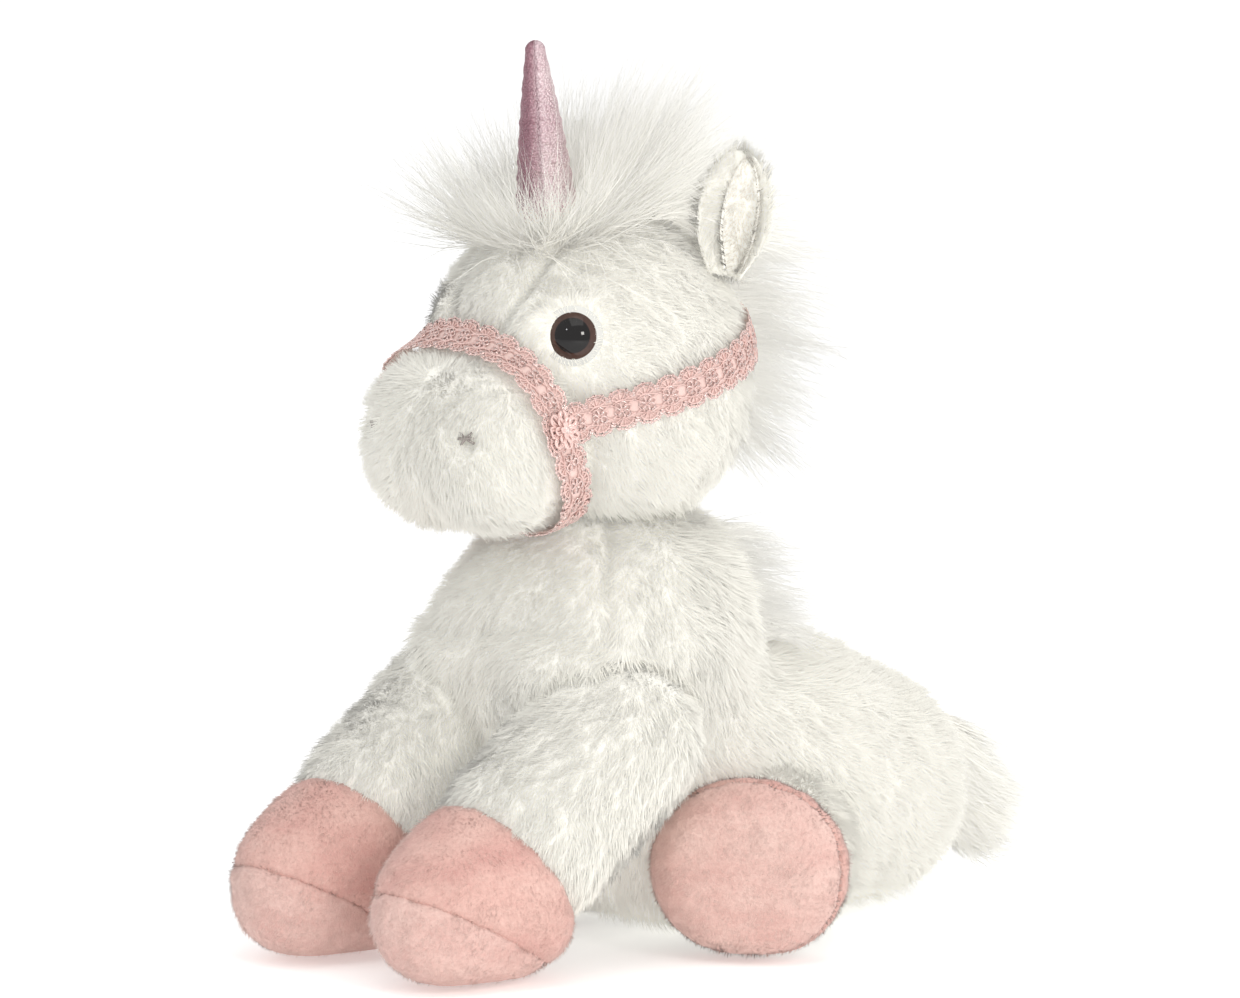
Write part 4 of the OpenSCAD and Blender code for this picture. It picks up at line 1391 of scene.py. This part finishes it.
def rosette_paths(ribbon, u0, v0, seed):
    """A little flower of looped thread round a bead."""
    thread, glint = [], []
    for layer, (size, h, count) in enumerate(((5.4, 1.5, 7), (3.6, 2.4, 6), (2.2, 3.2, 5))):
        for k in range(count):
            a = 2 * math.pi * (k + 0.5 * layer) / count + 0.3 * seed
            for shrink in (1.0, 0.72, 0.42):
                f = np.linspace(0, 2 * math.pi, 15)
                r = size * (0.15 + 0.85 * (0.5 - 0.5 * np.cos(f)))
                w = 0.42 * shrink * np.sin(f)
                u = u0 + r * np.cos(a + w)
                v = v0 + r * np.sin(a + w)
                (glint if shrink == 0.72 else thread).append(ribbon(u, np.clip(v, -6, 6), h + 0.5 * r / size))
    for k in range(4):
        u, v = arc(u0, v0, 0.3 + 0.28 * k, 0.3 + 0.28 * k, 0, 360, 12)
        glint.append(ribbon(u, v, 4.1 - 0.22 * k))
    return thread, glint


def lay_lace(key, ribbon, node, extra=()):
    band = dress(band_mesh(f"{key}_net", ribbon), LACE_BAND, "head", (node,))
    thread, glint = lace_paths(ribbon)
    v, f = tube(thread, 0.3, 3)
    t = dress(smooth(new_mesh(f"{key}_thread", v, f)), LACE_THREAD, "head")
    v, f = tube(glint, 0.3, 3)
    g = dress(smooth(new_mesh(f"{key}_glitter", v, f)), LACE_GLINT, "head")
    return band


LIFT = 0.9
noseband = ring_ribbon(5, 175, LIFT)
chin = ring_ribbon(9, -189, LIFT)
straps = strap_ribbon(LIFT)
lay_lace("noseband", noseband, "lace_noseband")
lay_lace("chin_strap", chin, "lace_chin_strap")


class Mirrored:
    """The same ribbon on the right side."""

    def __init__(self, ribbon):
        self.ribbon, self.length = ribbon, ribbon.length

    def __call__(self, u, v, h=0.0):
        return mirror(self.ribbon(u, -np.asarray(v, float), h))


for side, ribbon in (("left", straps), ("right", Mirrored(straps))):
    lay_lace(f"cheek_strap_{side}", ribbon, f"lace_cheek_strap_{side}")
    thread, glint = rosette_paths(ribbon, 4.5, 0.0, 1 if side == "left" else 2)
    v, f = tube(thread, 0.3, 5)
    t = dress(smooth(new_mesh(f"rosette_thread_{side}", v, f)), LACE_THREAD, "head", (f"rosette_{side}",))
    v, f = tube(glint, 0.28, 5)
    dress(smooth(new_mesh(f"rosette_glitter_{side}", v, f)), LACE_GLINT, "head")

# ---------------------------------------------------------------- long hair


def grow(o, keep, density, seed):
    root, n, rng = scatter(o, density, seed)
    grown = rng.random(len(root)) < keep(root, n)
    return root[grown], n[grown], rng


def forelock_spot(p, n):
    q = unit(p - SKULL) @ unit(at(0, -40, 226) - SKULL)
    angle = np.degrees(np.arccos(np.clip(q, -1, 1)))
    return np.clip((35 - angle) / 6, 0, 1) * (ball(p, HORN_ROOT, 9.5) > 0)


root, n, rng = grow(head, forelock_spot, 3.4, 71)
out = unit((root - HORN_ROOT) * (1, 1, 0))
low = np.clip(0.77 * np.abs(out[:, 0]) - 0.64 * out[:, 1], 0, 1)[:, None]
fan = unit(out + rng.normal(size=out.shape) * 0.35)
rise = rng.uniform(0.15, 1.1, (len(root), 1)) * (2.2 - 1.35 * low)
veil = np.exp(-((np.linalg.norm(root - HORN_ROOT, axis=1) - 9.5) / 6) ** 2)
rise += 1.8 * veil[:, None]
wisp = np.where(rng.random(len(root)) < 0.14, 1.45, 1.0)
forelock = hair("forelock_hair", root, n, n * (1 - 0.5 * low) + fan * (0.3 + 0.6 * low),
                fan + (0, 0, 1) * rise - 0.1 * n, wisp * (40 + 13 * rng.random(len(root)) - 4 * low[:, 0]) * (1 - 0.42 * veil), 72, "head",
                clump=(8, 0.25))
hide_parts("forelock")


def mane_spot(p, n):
    q = p - SKULL
    angle = np.degrees(np.arctan2(q[:, 2], q[:, 1]))
    return (np.abs(q[:, 0]) < 17) * np.clip((angle + 38) / 6, 0, 1) * np.clip((80 - angle) / 8, 0, 1) * (q[:, 1] > 0)


def mane_ways(root, n, rng, back):
    """Setting-off and end directions of mane hair, which fans out to both sides."""
    wide = np.column_stack([rng.normal(size=len(root)) * 0.4 + root[:, 0] / 30, back + 0 * root[:, 0], -0.8 + 0 * root[:, 0]])
    wide -= np.minimum((wide * n).sum(1), 0)[:, None] * n
    return n + 0.3 * wide, unit(wide) + 0.4 * n


root, n, rng = grow(head, mane_spot, 2.6, 81)
tall = np.clip((root[:, 2] - SKULL[2] + 20) / 50, 0, 1)
mane = hair("head_mane_hair", root, n, *mane_ways(root, n, rng, 0.55), 42 + 10 * tall, 82, "head", clump=(8, 0.2),
            mat=GLOWING_MANE_PILE)
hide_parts("head_mane")


def neck_spot(p, n):
    return (np.abs(p[:, 0]) < 20) * (np.abs(p[:, 1] - NECK[1] - 32) < 22) * (n[:, 1] > 0.35) * (p[:, 2] > NECK[2] - 16) * (p[:, 2] < NECK[2] + 24)


root, n, rng = grow(torso, neck_spot, 2.6, 91)
mane = hair("neck_mane_hair", root, n, *mane_ways(root, n, rng, 0.4), np.full(len(root), 33.0), 92, "torso", clump=(8, 0.2),
            mat=GLOWING_MANE_PILE)
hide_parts("neck_mane")

tail = skin("tail_core", tail_field, at(-18, 84, -4), at(18, 144, 60), 2.6)
dress(tail, BACKING, "tail", ("tail_backing",))
root, n, rng = grow(tail, lambda p, n: np.clip((p[:, 2] - 2) / 3, 0, 1), 2.8, 95)
point = TAIL_TIP + (0, 21, 6) + rng.normal(size=root.shape) * (6, 2, 5)
left = np.linalg.norm(point - root, axis=1)
fur = hair("tail_hair", root, n, n * 0.7 + unit(TAIL_TIP - TAIL_ROOT), point - root, np.clip(0.85 * left, 12, 30), 96, "tail", clump=(6, 0.25))
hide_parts("tail_pile")

# ---------------------------------------------------------------- finish

low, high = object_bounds()
